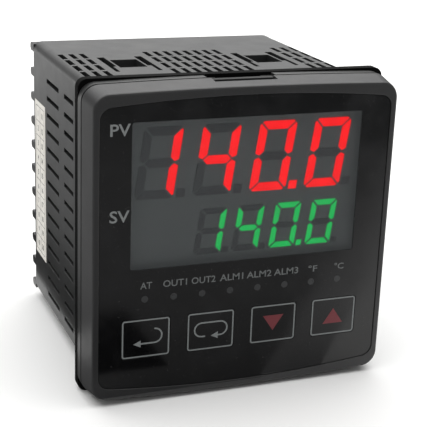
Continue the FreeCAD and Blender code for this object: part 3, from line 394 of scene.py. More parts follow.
class SettledDust(SharedEffect):
    """A thin veil of dust that lies on upward faces and in small patches elsewhere."""

    name = "Settled Dust"
    inputs = (
        ("Top", "NodeSocketFloat", 0.10),
        ("Elsewhere", "NodeSocketFloat", 0.02),
    )
    outputs = (("Mask", "NodeSocketFloat"),)
    slope = (0.2, 0.95)

    @classmethod
    def build(cls, graph: Graph, start: Node, end: Node) -> None:
        """Weigh two noises by how far a face looks up."""
        normal = graph.add("ShaderNodeSeparateXYZ")
        graph.fill(normal, Vector=graph.add("ShaderNodeNewGeometry").outputs["Normal"])
        upward = graph.spread(normal.outputs["Z"], cls.slope)
        place = graph.position()
        drift = graph.patches(place, scale=60.0, detail=5.0, between=(0.35, 0.75))
        specks = graph.patches(place, scale=1500.0, detail=2.0, between=(0.62, 0.72))
        lying = graph.math("MULTIPLY", graph.math("MULTIPLY", upward, start.outputs["Top"]), drift)
        loose = graph.math("MULTIPLY", specks, start.outputs["Elsewhere"])
        graph.fill(end, Mask=graph.math("ADD", lying, loose))


# ------------------------------------------------------------------ finishes


RUBBED_EDGE = rgb(150, 150, 148)
DUST = rgb(176, 172, 164)
SPECK = rgb(150, 148, 144)
FINGER_MARK = rgb(120, 120, 124)
TARNISH = rgb(112, 106, 96)
STAIN = rgb(206, 198, 182)
FIBRE = rgb(190, 186, 178)

# Kept by the finish's name, because the frame's own materials share some of these names.
MADE: dict[str, bpy.types.Material] = {}


@dataclass(frozen=True)
class Finish(ABC):
    """A surface finish that makes its own material."""

    name: str

    def material(self) -> bpy.types.Material:
        """The finish's material, built the first time that it is asked for."""
        if self.name in MADE:
            return MADE[self.name]
        made = bpy.data.materials.new(self.name)
        MADE[self.name] = made
        made.use_nodes = True
        made.node_tree.nodes.clear()
        graph = Graph(made.node_tree)
        shader = graph.add("ShaderNodeBsdfPrincipled")
        graph.fill(graph.add("ShaderNodeOutputMaterial"), Surface=shader.outputs[0])
        self.build(graph, shader)
        return made

    @abstractmethod
    def build(self, graph: Graph, shader: Node) -> None:
        """Feed the finish's shader.

        Args:
            graph: The material's graph.
            shader: Its Principled BSDF.
        """


@dataclass(frozen=True)
class MouldedPlastic(Finish):
    """Textured moulded plastic with rubbed edges and a little dust."""

    colour: Colour
    roughness: float = 0.5
    grain: float = 2600.0
    depth: float = 0.04 * MM
    relief: float = 0.6
    cloud: float = 0.06
    edge_radius: float = 0.25 * MM
    edge_light: float = 0.12
    dust: float = 0.08
    dust_elsewhere: float = 0.4
    dust_dulls: float = 0.4
    specular: float = 0.5

    def build(self, graph: Graph, shader: Node) -> None:
        """Grain under the colour, then worn edges, then dust."""
        grain = MouldGrain.place(
            graph, Colour=self.colour, Grain_Scale=self.grain, Cloud=self.cloud, Sheen=self.roughness,
        )
        wear = EdgeWear.place(graph, Radius=self.edge_radius)
        dust = SettledDust.place(graph, Top=self.dust, Elsewhere=self.dust * self.dust_elsewhere)["Mask"]
        rubbed = graph.lay(wear["Mask"], self.edge_light, grain["Colour"], RUBBED_EDGE)
        dull = graph.math("ADD", grain["Roughness"], graph.math("MULTIPLY", dust, self.dust_dulls))
        graph.fill(
            shader, Base_Color=graph.blend(dust, rubbed, DUST), Roughness=dull,
            Specular_IOR_Level=self.specular,
        )
        graph.bump(
            shader, Height=grain["Height"], Normal=wear["Normal"],
            Strength=self.relief, Distance=self.depth,
        )


@dataclass(frozen=True)
class PrintedFilm(Finish):
    """Glossy printed polyester film: a slight ripple, and faint finger marks in its gloss."""

    colour: Colour
    roughness: float = 0.16
    ripple: float = 0.02 * MM
    relief: float = 0.25
    edge_radius: float = 0.1 * MM
    edge_patchiness: float = 0.2
    speck_share: float = 0.12
    smear_share: float = 0.02
    smear_dulls: float = 0.10

    def build(self, graph: Graph, shader: Node) -> None:
        """Ripple for the normal, and smears for the gloss."""
        place = graph.position()
        smear = graph.patches(place, scale=90.0, detail=6.0, between=(0.45, 0.75))
        specks = graph.patches(place, scale=2400.0, detail=2.0, between=(0.70, 0.76))
        dusty = graph.lay(specks, self.speck_share, self.colour, SPECK)
        graph.fill(
            shader, Base_Color=graph.lay(smear, self.smear_share, dusty, FINGER_MARK),
            Roughness=graph.math("MULTIPLY_ADD", smear, self.smear_dulls, self.roughness),
        )
        wear = EdgeWear.place(graph, Radius=self.edge_radius, Patchiness=self.edge_patchiness)
        graph.bump(
            shader, Height=graph.noise(place, scale=240.0, detail=2.0), Normal=wear["Normal"],
            Strength=self.relief, Distance=self.ripple,
        )


@dataclass(frozen=True)
class SmokedWindow(Finish):
    """Smoked clear plastic that dims what lies behind it."""

    colour: Colour
    density: float = 0.3
    drift: Colour = rgb(62, 64, 66)
    unevenness: float = 0.06
    gloss: Pair = (0.10, 0.2)
    specular: float = 0.4

    def build(self, graph: Graph, shader: Node) -> None:
        """A see-through skin, a touch denser in drifts, with a glossy face."""
        place = graph.position()
        dense = (self.density * (1 - self.unevenness), self.density * (1 + self.unevenness))
        graph.fill(
            shader, Base_Color=graph.blend(graph.noise(place, scale=30.0), self.colour, self.drift),
            Alpha=graph.patches(place, scale=45.0, detail=4.0, between=(0.3, 0.7), gives=dense),
            Roughness=graph.patches(place, scale=110.0, detail=6.0, between=(0.45, 0.75), gives=self.gloss),
            Specular_IOR_Level=self.specular,
        )


@dataclass(frozen=True)
class GlowingSegment(Finish):
    """A lit display segment: slightly uneven light that falls off at the rim."""

    colour: Colour
    strength: float = 3.0
    evenness: Pair = (0.82, 1.0)
    rim: float = 0.3 * MM
    rim_loss: float = 0.75
    resin: Colour = rgb(60, 20, 22)
    resin_drift: Colour = rgb(48, 24, 24)
    roughness: float = 0.6
    specular: float = 0.1

    def build(self, graph: Graph, shader: Node) -> None:
        """Uneven emission over a dark diffuser."""
        place = graph.position()
        even = graph.patches(place, scale=260.0, detail=3.0, between=(0.25, 0.75), gives=self.evenness)
        rim = EdgeWear.place(graph, Radius=self.rim, Patchiness=0.0)["Mask"]
        kept = graph.spread(rim, (0.0, 1.0), (1.0, 1.0 - self.rim_loss))
        graph.fill(
            shader, Base_Color=graph.blend(graph.noise(place, scale=500.0), self.resin, self.resin_drift),
            Emission_Color=graph.scaled(self.colour[:3], graph.math("MULTIPLY", even, kept)),
            Emission_Strength=self.strength, Roughness=self.roughness, Specular_IOR_Level=self.specular,
        )


@dataclass(frozen=True)
class DullDiffuser(Finish):
    """A matt resin face or an unlit segment, with an even painted glow that lifts the shade behind the
    window.
    """

    colour: Colour
    variation: float = 0.12
    # strength of the painted glow: emission that lifts the shade on the face
    painted_glow: float = 0.0
    roughness: float = 0.7
    grain: float = 7000.0
    depth: float = 0.01 * MM
    relief: float = 0.15
    specular: float = 0.05

    def build(self, graph: Graph, shader: Node) -> None:
        """A matt face with a fine grain and an even painted glow."""
        grain = MouldGrain.place(
            graph, Colour=self.colour, Grain_Scale=self.grain, Cloud=self.variation, Sheen=self.roughness,
        )
        # painted light: the face glows in its own colour to lift the shade that falls on it behind the
        # window
        graph.fill(
            shader, Base_Color=grain["Colour"], Roughness=grain["Roughness"],
            Emission_Color=grain["Colour"], Emission_Strength=self.painted_glow, Specular_IOR_Level=self.specular,
        )
        graph.bump(shader, Height=grain["Height"], Strength=self.relief, Distance=self.depth)


@dataclass(frozen=True)
class PlatedMetal(Finish):
    """Plated or rolled metal with fine scratches and a few dull spots."""

    colour: Colour
    roughness: float = 0.3
    stretch: Triple = (1.0, 1.0, 6.0)
    scratch_dulls: float = 0.22
    tarnish_dulls: float = 0.2
    tarnish_share: float = 0.4
    edge_radius: float = 0.12 * MM
    edge_patchiness: float = 0.3
    depth: float = 0.01 * MM
    relief: float = 0.25

    def build(self, graph: Graph, shader: Node) -> None:
        """Scratches drawn out along one axis, tarnish in patches."""
        place = graph.position()
        scratch = graph.noise(graph.stretched(place, self.stretch), scale=900.0, detail=6.0)
        tarnish = graph.patches(place, scale=330.0, detail=5.0, between=(0.45, 0.75))
        least = self.roughness - self.scratch_dulls / 2
        dull = graph.math("MULTIPLY_ADD", tarnish, self.tarnish_dulls, least)
        graph.fill(
            shader, Base_Color=graph.lay(tarnish, self.tarnish_share, self.colour, TARNISH), Metallic=1.0,
            Roughness=graph.math("MULTIPLY_ADD", scratch, self.scratch_dulls, dull),
        )
        wear = EdgeWear.place(graph, Radius=self.edge_radius, Patchiness=self.edge_patchiness)
        graph.bump(
            shader, Height=scratch, Normal=wear["Normal"],
            Strength=self.relief, Distance=self.depth,
        )


@dataclass(frozen=True)
class CircuitBoard(Finish):
    """Green solder mask over copper tracks that run on a grid."""

    mask: Colour = rgb(16, 62, 38)
    track: Colour = rgb(34, 96, 58)
    field_scale: float = 240.0
    field_edge: Pair = (0.3, 0.34)
    line_scale: float = 420.0
    line_width: float = 0.12
    gloss: Pair = (0.38, 0.28)
    depth: float = 0.04 * MM
    relief: float = 0.4

    def build(self, graph: Graph, shader: Node) -> None:
        """Tracks between square fields, raised a little under the glossy mask."""
        place = graph.position()
        cells = graph.add("ShaderNodeTexVoronoi", distance="MANHATTAN", feature="F1")
        graph.fill(cells, Vector=place, Scale=self.field_scale)
        lines = graph.add("ShaderNodeTexBrick")
        graph.fill(lines, Vector=place, Scale=self.line_scale, Mortar_Size=self.line_width)
        fields = graph.spread(cells.outputs["Distance"], self.field_edge)
        copper = graph.math("MULTIPLY", lines.outputs["Fac"], fields)
        graph.fill(
            shader, Base_Color=graph.blend(copper, self.mask, self.track),
            Roughness=graph.spread(copper, (0.0, 1.0), self.gloss),
        )
        graph.bump(shader, Height=copper, Strength=self.relief, Distance=self.depth)


@dataclass(frozen=True)
class ScreenInk(Finish):
    """Screen-printed ink: near even, with a slightly open grain."""

    colour: Colour
    roughness: float = 0.4
    rougher: float = 0.15
    thin: float = 0.82

    def build(self, graph: Graph, shader: Node) -> None:
        """A fine break-up in colour and gloss."""
        place = graph.position()
        mesh = graph.patches(place, scale=5200.0, detail=2.0, between=(0.3, 0.7))
        thin = tuple(channel * self.thin for channel in self.colour[:3]) + (1.0,)
        gloss = (self.roughness, self.roughness + self.rougher)
        graph.fill(
            shader, Base_Color=graph.blend(mesh, thin, self.colour),
            Roughness=graph.patches(place, scale=800.0, detail=3.0, between=(0.3, 0.7), gives=gloss),
        )


@dataclass(frozen=True)
class LabelStock(Finish):
    """Matt white label paper with fibres and a faint bruise here and there."""

    colour: Colour
    stain_share: float = 0.35
    fibre_share: float = 0.12
    fibre_stretch: Triple = (1.0, 1.0, 3.0)
    gloss: Pair = (0.5, 0.65)
    depth: float = 0.01 * MM
    relief: float = 0.3

    def build(self, graph: Graph, shader: Node) -> None:
        """Fibres for the bump, slow stains for the colour."""
        place = graph.position()
        fibre = graph.noise(graph.stretched(place, self.fibre_stretch), scale=2600.0, detail=5.0)
        stain = graph.patches(place, scale=70.0, detail=5.0, between=(0.45, 0.8))
        aged = graph.lay(stain, self.stain_share, self.colour, STAIN)
        graph.fill(
            shader, Base_Color=graph.lay(fibre, self.fibre_share, aged, FIBRE),
            Roughness=graph.spread(fibre, (0.3, 0.7), self.gloss),
        )
        graph.bump(shader, Height=fibre, Strength=self.relief, Distance=self.depth)


@dataclass(frozen=True)
class StudioPaint(Finish):
    """Matt studio paper for the floor and the flags."""

    colour: Colour
    drift: Colour = rgb(226, 226, 224)
    drift_share: float = 0.04
    roughness: float = 0.9
    specular: float = 0.05

    def build(self, graph: Graph, shader: Node) -> None:
        """Almost even, with a slow drift in tone."""
        tone = graph.noise(graph.position(), scale=2.0, detail=2.0)
        graph.fill(
            shader, Base_Color=graph.lay(tone, self.drift_share, self.colour, self.drift),
            Roughness=self.roughness, Specular_IOR_Level=self.specular,
        )


CASE_BLACK = MouldedPlastic("case plastic", rgb(36, 37, 37), roughness=0.4, grain=2200.0, dust=0.05)
BEZEL_BLACK = MouldedPlastic(
    "bezel plastic", rgb(34, 34, 35), roughness=0.42, grain=3000.0, depth=0.03 * MM,
    edge_radius=0.3 * MM, dust=0.05,
)
TERMINAL_BLACK = MouldedPlastic("terminal plastic", rgb(30, 30, 31), roughness=0.4, grain=2800.0, dust=0.05)
COMPONENT_BLACK = MouldedPlastic("component plastic", rgb(26, 26, 28), grain=3600.0, dust=0.02)
RELAY_BLUE = MouldedPlastic("relay plastic", rgb(28, 56, 92), roughness=0.35, grain=3000.0, dust=0.02)
SWITCH_PLASTIC = MouldedPlastic("switch plastic", rgb(34, 34, 36), grain=3400.0, dust=0.0)
PLUNGER_PLASTIC = MouldedPlastic(
    "plunger plastic", rgb(188, 120, 40), roughness=0.45, grain=3400.0, dust=0.0,
)
PIPE_PLASTIC = MouldedPlastic(
    "light pipe plastic", rgb(196, 200, 196), roughness=0.25, grain=900.0, dust=0.0,
)
WINDING_TAPE = MouldedPlastic("winding tape", rgb(196, 158, 52), roughness=0.35, grain=1500.0, dust=0.02)
CAN_SLEEVE = MouldedPlastic("capacitor sleeve", rgb(22, 24, 34), roughness=0.25, grain=1200.0, dust=0.02)
GASKET_RUBBER = MouldedPlastic(
    "gasket rubber", rgb(4, 4, 4), roughness=0.8, grain=1600.0, depth=0.06 * MM,
    edge_radius=0.4 * MM, edge_light=0.02, dust=0.01, specular=0.08,
)
FILM_BLACK = PrintedFilm("overlay film", rgb(9, 9, 10))
KEY_FILM = PrintedFilm("key film", rgb(9, 9, 10))
WINDOW_SMOKE = SmokedWindow("smoked window", rgb(62, 65, 66))
# The module face and the unlit segments glow a little: painted light that lifts the shade behind the
# window.
MODULE_GREY = DullDiffuser("module face", rgb(100, 104, 104), variation=0.04, painted_glow=0.2)
SEGMENT_DARK = DullDiffuser("unlit segment", rgb(80, 83, 84), variation=0.04, painted_glow=0.12)
SEGMENT_RED = GlowingSegment("red segment", rgb(255, 3, 12), strength=2.0)
SEGMENT_GREEN = GlowingSegment("green segment", rgb(0, 186, 86), strength=1.8)
LED_RESIN = DullDiffuser("lamp resin", rgb(196, 190, 150))
BRASS = PlatedMetal("contact metal", rgb(196, 186, 160))
ZINC = PlatedMetal("screw metal", rgb(196, 196, 192), roughness=0.28)
CORE_STEEL = PlatedMetal("core laminations", rgb(120, 122, 126), roughness=0.42, stretch=(1.0, 12.0, 1.0))
BOARD_GREEN = CircuitBoard("circuit board")
LEGEND_INK = ScreenInk("legend ink", rgb(96, 99, 99))
BRIGHT_INK = ScreenInk("bright legend ink", rgb(118, 121, 121))
KEY_INK = ScreenInk("key ink", rgb(116, 120, 120))
RED_INK = ScreenInk("red ink", rgb(112, 36, 44))
LAMP_INK = ScreenInk("lamp ink", rgb(48, 49, 50), roughness=0.25)
NUMBER_INK = ScreenInk("number ink", rgb(196, 196, 192), roughness=0.5)
TABLE_INK = ScreenInk("table ink", rgb(92, 90, 88), roughness=0.55)
LABEL_WHITE = LabelStock("label stock", rgb(232, 229, 222))
FLOOR_PAPER = StudioPaint("studio paper", rgb(250, 250, 249))
CARD_BLACK = StudioPaint("black card", rgb(12, 12, 12), rgb(16, 16, 16))
CARD_GREY = StudioPaint("grey card", rgb(88, 90, 90), rgb(96, 96, 96))
CARD_MIDDLE = StudioPaint("middle card", rgb(136, 136, 136), rgb(144, 144, 144))
CARD_PALE = StudioPaint("pale card", rgb(160, 160, 160), rgb(168, 168, 168))
CARD_LIGHT = StudioPaint("light card", rgb(196, 196, 196), rgb(204, 204, 204))

SLOT_FINISHES: dict[str, Finish] = {
    "bezel": BEZEL_BLACK,
    "overlay": FILM_BLACK,
    "window": WINDOW_SMOKE,
    "switch": SWITCH_PLASTIC,
    "case": CASE_BLACK,
    "gasket": GASKET_RUBBER,
    "board": BOARD_GREEN,
    "screw": ZINC,
    "module": MODULE_GREY,
    "segment_red": SEGMENT_RED,
    "segment_green": SEGMENT_GREEN,
    "segment_dark": SEGMENT_DARK,
    "led": LED_RESIN,
    "light_pipe": PIPE_PLASTIC,
    "terminal_block": TERMINAL_BLACK,
    "contact": BRASS,
    "core": CORE_STEEL,
    "winding": WINDING_TAPE,
    "capacitor": CAN_SLEEVE,
    "relay": RELAY_BLUE,
    "chip": COMPONENT_BLACK,
    "label": LABEL_WHITE,
    "key": KEY_FILM,
    "plunger": PLUNGER_PLASTIC,
}


# --------------------------------------------------------------- mesh helpers


LEVEL_SLACK = 1e-6  # how far a corner may be off a level and still lie on it
DOUBLE_SLACK = 1e-7  # how far apart two corners may be and still be one


def deselect_all() -> None:
    """Leave edit mode and clear the selection, so that an operator acts on new work only."""
    if bpy.context.mode != "OBJECT":
        bpy.ops.object.mode_set(mode="OBJECT")
    bpy.ops.object.select_all(action="DESELECT")


def hold(piece: Piece) -> None:
    """Make one object the only one selected, and the active one."""
    deselect_all()
    piece.select_set(True)
    bpy.context.view_layer.objects.active = piece


def turned(angle: float, axis: str) -> Matrix:
    """The matrix of a turn by some degrees about an axis."""
    return Matrix.Rotation(math.radians(angle), 4, axis)


def start_piece(
    primitive: Callable, name: str, place: Triple = (0, 0, 0), scale: Triple = (1, 1, 1),
    turn: Triple = (0, 0, 0), **settings: object,
) -> Piece:
    """Add a primitive, and put its place, turn and scale into its mesh.

    Args:
        primitive: Blender's operator that adds it.
        name: The object's name.
        place: Where its middle goes.
        scale: Its scale along its own axes.
        turn: Degrees that it is turned by about X, Y and Z.
        **settings: The operator's other settings.

    Returns:
        The new object, selected alone.
    """
    deselect_all()
    primitive(location=place, rotation=[math.radians(angle) for angle in turn], **settings)
    piece = bpy.context.object
    piece.name = name
    piece.scale = scale
    bpy.ops.object.transform_apply(location=True, rotation=True, scale=True)
    return piece


def join(parts: list[Piece], name: str) -> Piece:
    """Join objects into one.

    Args:
        parts: The objects, at least one.
        name: The joined object's name.

    Returns:
        The joined object.
    """
    deselect_all()
    for part in parts:
        part.select_set(True)
    bpy.context.view_layer.objects.active = parts[0]
    if len(parts) > 1:
        bpy.ops.object.join()
    made = bpy.context.view_layer.objects.active
    made.name = name
    made.data.name = name
    return made


def finish_piece(piece: Piece, finish: Finish, body: str) -> Piece:
    """Give a finished piece its material and body.

    Args:
        piece: The object, already in place.
        finish: Its finish.
        body: The moving body that it rides on.

    Returns:
        The same object.
    """
    piece.data.materials.clear()
    piece.data.materials.append(finish.material())
    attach(piece, body)
    log.info("%s: %d faces", piece.name, len(piece.data.polygons))
    return piece


def lettering(text: str, name: str, centre: Vector, size: Pair, facing: Facing) -> Piece:
    """Flat lettering on an upright face.

    Args:
        text: The words.
        name: The object's name.
        centre: The middle of the lettering, on the face.
        size: Width and height that it fills, or a width of 0 to keep the letters' own proportions.
        facing: Which way it faces.

    Returns:
        The mesh object, with its place applied.
    """
    deselect_all()
    bpy.ops.object.text_add(location=(0, 0, 0))
    words = bpy.context.object
    words.data.body = text
    words.data.resolution_u = 3
    words.data.offset = LETTER_BOLD
    words.data.extrude = PRINT_THICK / 2
    bpy.ops.object.convert(target="MESH")
    words = bpy.context.object
    words.name = name
    corners = [vertex.co for vertex in words.data.vertices]
    low, high = (
        Vector(tuple(end(corner[axis] for corner in corners) for axis in range(3))) for end in (min, max)
    )
    tall = size[1] / (high.y - low.y)
    wide = size[0] / (high.x - low.x) if size[0] else tall
    grow = Matrix.Diagonal((wide, tall, 1, 1)) @ Matrix.Translation(-(low + high) / 2)
    words.data.transform(Matrix.Translation(centre) @ turned(facing.value, "Z") @ turned(90, "X") @ grow)
    return words


def thicken(piece: Piece) -> Piece:
    """Give a flat print on the front face its ink thickness.

    Args:
        piece: The flat mesh.

    Returns:
        The same object, closed, with its faces pointing outwards.
    """
    hold(piece)
    ink = piece.modifiers.new("Ink", "SOLIDIFY")
    ink.thickness = PRINT_THICK
    ink.offset = 0.0
    bpy.ops.object.modifier_apply(modifier=ink.name)
    bpy.ops.object.mode_set(mode="EDIT")
    bpy.ops.mesh.select_all(action="SELECT")
    bpy.ops.mesh.normals_make_consistent(inside=False)
    bpy.ops.object.mode_set(mode="OBJECT")
    return piece


@dataclass
class Pen:
    """Draws a printed stroke on the front: it pushes out its leading edge, straight or round a bend."""

    name: str
    place: Vector
    heading: float
    width: float
    piece: Piece = field(init=False)

    def __post_init__(self) -> None:
        """Start from a short strip of ink whose far edge leads."""
        step = self.width / 4
        self.piece = start_piece(
            bpy.ops.mesh.primitive_plane_add, self.name, (step / 2, 0, 0), (step, self.width, 1), size=1.0,
        )
        self.piece.data.transform(
            Matrix.Translation(self.place) @ turned(90, "X") @ turned(self.heading, "Z")
        )
        self.place = self.place + self.ahead() * step
        bpy.ops.object.mode_set(mode="EDIT")
        self.lead()

    def ahead(self, turn: float = 0.0) -> Vector:
        """The way that the pen heads, or that way turned against the clock by some degrees."""
        angle = math.radians(self.heading + turn)
        return Vector((math.cos(angle), 0, math.sin(angle)))

    def lead(self) -> None:
        """Select only the edge that lies across the pen's present place."""
        bpy.ops.mesh.select_mode(type="EDGE")
        bpy.ops.mesh.select_all(action="DESELECT")
        mesh = bmesh.from_edit_mesh(self.piece.data)

        def off(edge: bmesh.types.BMEdge) -> float:
            """How far an edge's middle is from the pen's place."""
            return ((edge.verts[0].co + edge.verts[1].co) / 2 - self.place).length

        min(mesh.edges, key=off).select_set(True)
        bmesh.update_edit_mesh(self.piece.data)

    def forward(self, length: float) -> None:
        """Push the leading edge straight on."""
        step = self.ahead() * length
        bpy.ops.mesh.extrude_region_move(TRANSFORM_OT_translate={"value": step})
        self.place = self.place + step
        self.lead()

    def bend(self, radius: float, angle: float, steps: int = 10) -> None:
        """Swing the leading edge round a centre at its left, or at its right when the angle is negative.

        Args:
            radius: Radius of the stroke's middle line.
            angle: Degrees to turn, against the clock when positive.
            steps: Number of steps in the bend.
        """
        side = math.copysign(90, angle)
        centre = self.place + self.ahead(side) * radius
        bpy.ops.mesh.spin(
            steps=steps, angle=math.radians(angle), center=centre, axis=(0, 1, 0), dupli=False,
        )
        self.place = centre + self.ahead(angle - side) * radius
        self.heading += angle
        self.lead()

    def arrow(self, length: float, half_width: float) -> None:
        """End the stroke in an arrow head that points along the present heading."""
        beside = self.ahead(90) * half_width
        mesh = bmesh.from_edit_mesh(self.piece.data)
        corners = (self.place + beside, self.place - beside, self.place + self.ahead() * length)
        mesh.faces.new([mesh.verts.new(corner) for corner in corners])
        bmesh.update_edit_mesh(self.piece.data)

    def lift(self) -> Piece:
        """Close the drawing and give the ink its thickness.

        Returns:
            The finished mesh object.
        """
        bpy.ops.mesh.select_all(action="SELECT")
        bpy.ops.mesh.remove_doubles(threshold=DOUBLE_SLACK)
        bpy.ops.object.mode_set(mode="OBJECT")
        return thicken(self.piece)


# -------------------------------------------------------------- sub-assemblies


@dataclass
class SubAssembly(ABC):
    """A group of pieces that is dressed together."""

    @abstractmethod
    def build(self) -> None:
        """Make and dress the group's pieces."""


@dataclass
class CadFinishes(SubAssembly):
    """The finishes of the pieces that come as they are from the frame."""

    slots: dict[str, Finish]

    def build(self) -> None:
        """Give each node its slot's finish."""
        for part in frame["record"]["subparts"]:
            node = frame["nodes"][part["node"]]
            finish = self.slots[part["material_slot"]]
            node.data.materials.clear()
            node.data.materials.append(finish.material())
            log.info("%s: %s", node.name, finish.name)


@dataclass
class PanelPrint(SubAssembly):
    """The legends and lamp dots that are printed on the front film.

    Each row mark has its level and height, and each lamp has its legend's width.
    """

    row_marks: tuple[tuple[str, float, float], ...] = (
        ("PV", 36.05 * MM, 3.5 * MM), ("SV", 10.9 * MM, 3.6 * MM),
    )
    row_mark_place: float = -39.1 * MM
    row_mark_width: float = 5.9 * MM
    lamps: tuple[tuple[str, float], ...] = (
        ("AT", 3.6 * MM), ("OUT1", 7.4 * MM), ("OUT2", 7.55 * MM), ("ALM1", 7.5 * MM),
        ("ALM2", 8.1 * MM), ("ALM3", 8.05 * MM), ("°F", 3.0 * MM), ("°C", 3.2 * MM),
    )
    legend_height: float = 2.1 * MM
    legend_level: float = -10.8 * MM
    legend_shift: float = 0.35 * MM
    lamp_dot: float = 2.1 * MM
    dot_sides: int = 32

    def build(self) -> None:
        """Print the row marks, the lamp legends and the lamp dots."""
        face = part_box("front_overlay")[0].y - PRINT_PROUD
        low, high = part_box("light_pipes")
        width = high.z - low.z
        first = low.x + width / 2
        pitch = (high.x - low.x - width) / (len(self.lamps) - 1)
        rows = [
            lettering(text, f"row mark {text}", Vector((self.row_mark_place, face, level)),
                      (self.row_mark_width, height), Facing.FRONT)
            for text, level, height in self.row_marks
        ]
        finish_piece(join(rows, "row_marks"), BRIGHT_INK, "housing")
        legends = []
        for number, (text, wide) in enumerate(self.lamps):
            centre = Vector((first + self.legend_shift + pitch * number, face, self.legend_level))
            size = (wide, self.legend_height)
            legends.append(lettering(text, f"legend {text}", centre, size, Facing.FRONT))
        finish_piece(join(legends, "lamp_legends"), LEGEND_INK, "housing")
        level = (low.z + high.z) / 2
        dots = [self.dot((first + pitch * number, face, level)) for number in range(len(self.lamps))]
        finish_piece(join(dots, "lamp_dots"), LAMP_INK, "housing")

    def dot(self, place: Triple) -> Piece:
        """One round lamp dot.

        Args:
            place: Its middle.

        Returns:
            The dot's mesh object.
        """
        return thicken(start_piece(
            bpy.ops.mesh.primitive_circle_add, "lamp dot", place, turn=(90, 0, 0),
            vertices=self.dot_sides, radius=self.lamp_dot / 2, fill_type="NGON",
        ))


@dataclass(frozen=True)
class HookedArrow:
    """A key's arrow: straight runs joined by half turns to the right. A first run of 0 is left out."""

    start: Pair
    heading: float
    radius: float
    runs: tuple[float, ...]


ARROWS: dict[Key, HookedArrow] = {
    Key.ENTER: HookedArrow((2.6 * MM, 2.8 * MM), 0.0, 2.25 * MM, (0.0, 4.3 * MM)),
    Key.LOOP: HookedArrow((-1.7 * MM, -1.7 * MM), 180.0, 2.2 * MM, (1.1 * MM, 6.0 * MM, 0.7 * MM)),
}


@dataclass
class KeyPrint(SubAssembly):
    """A key's printed frame and symbol, which move with the key."""

    key: Key
    line: float = 0.45 * MM
    corner: float = 0.85 * MM
    corner_steps: int = 8
    bare_edge: float = 0.1 * MM
    stroke: float = 0.5 * MM
    arrow_length: float = 2.3 * MM
    arrow_half: float = 1.1 * MM
    triangle_half: float = 3.4 * MM
    triangle_tall: float = 5.0 * MM
    triangle_lift: float = 0.1 * MM
    triangle_drop: float = 0.85 * MM

    def build(self) -> None:
        """Print the frame round the key's edge, then its symbol."""
        low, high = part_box(f"key_pad_{self.key.value}")
        middle = (low + high) / 2
        middle.y = low.y - PRINT_PROUD
        body = f"key_{self.key.value}"
        finish_piece(self.frame_line(middle, high - low), KEY_INK, body)
        if self.key in ARROWS:
            finish_piece(self.hooked_arrow(middle, ARROWS[self.key]), KEY_INK, body)
        else:
            finish_piece(self.triangle(middle), RED_INK, body)

    def frame_line(self, middle: Vector, size: Vector) -> Piece:
        """The rounded line round the key.

        Args:
            middle: The middle of the print.
            size: The key's size.

        Returns:
            The line's mesh object.
        """
        scale = (size.x - 2 * self.bare_edge, size.z - 2 * self.bare_edge, 1)
        plate = start_piece(
            bpy.ops.mesh.primitive_plane_add, f"key_frame_{self.key.value}", middle, scale, (90, 0, 0),
            size=1.0,
        )
        bpy.ops.object.mode_set(mode="EDIT")
        bpy.ops.mesh.select_all(action="SELECT")
        bpy.ops.mesh.bevel(offset=self.corner, segments=self.corner_steps, affect="VERTICES")
        bpy.ops.mesh.select_mode(type="FACE")
        bpy.ops.mesh.select_all(action="SELECT")
        bpy.ops.mesh.inset(thickness=self.line)
        bpy.ops.mesh.delete(type="FACE")
        bpy.ops.object.mode_set(mode="OBJECT")
        return thicken(plate)

    def hooked_arrow(self, middle: Vector, arrow: HookedArrow) -> Piece:
        """The hooked arrow of the enter or loop key.

        Args:
            middle: The middle of the print.
            arrow: The arrow's runs and turns.

        Returns:
            The symbol's mesh object.
        """
        across, up = arrow.start
        start = middle + Vector((across, 0, up))
        pen = Pen(f"symbol_{self.key.value}", start, arrow.heading, self.stroke)
        if arrow.runs[0]:
            pen.forward(arrow.runs[0])
        for run in arrow.runs[1:]:
            pen.bend(arrow.radius, -180)
            pen.forward(run)
        pen.arrow(self.arrow_length, self.arrow_half)
        return pen.lift()

    def triangle(self, middle: Vector) -> Piece:
        """The solid triangle of the down or up key.

        Args:
            middle: The middle of the print.

        Returns:
            The symbol's mesh object.
        """
        way = 1 if self.key is Key.UP else -1
        across, tall = math.sin(math.radians(60)), 1.5  # half the width, and the height, at a radius of 1
        return thicken(start_piece(
            bpy.ops.mesh.primitive_circle_add, f"symbol_{self.key.value}",
            middle + Vector((0, 0, self.triangle_lift - way * self.triangle_drop)),
            (self.triangle_half / across, self.triangle_tall / tall, 1), (90, 0 if way > 0 else 180, 0),
            vertices=3, radius=1.0, fill_type="NGON",
        ))


SCREW_SEEDS = {Side.LEFT: 11, Side.RIGHT: 23}


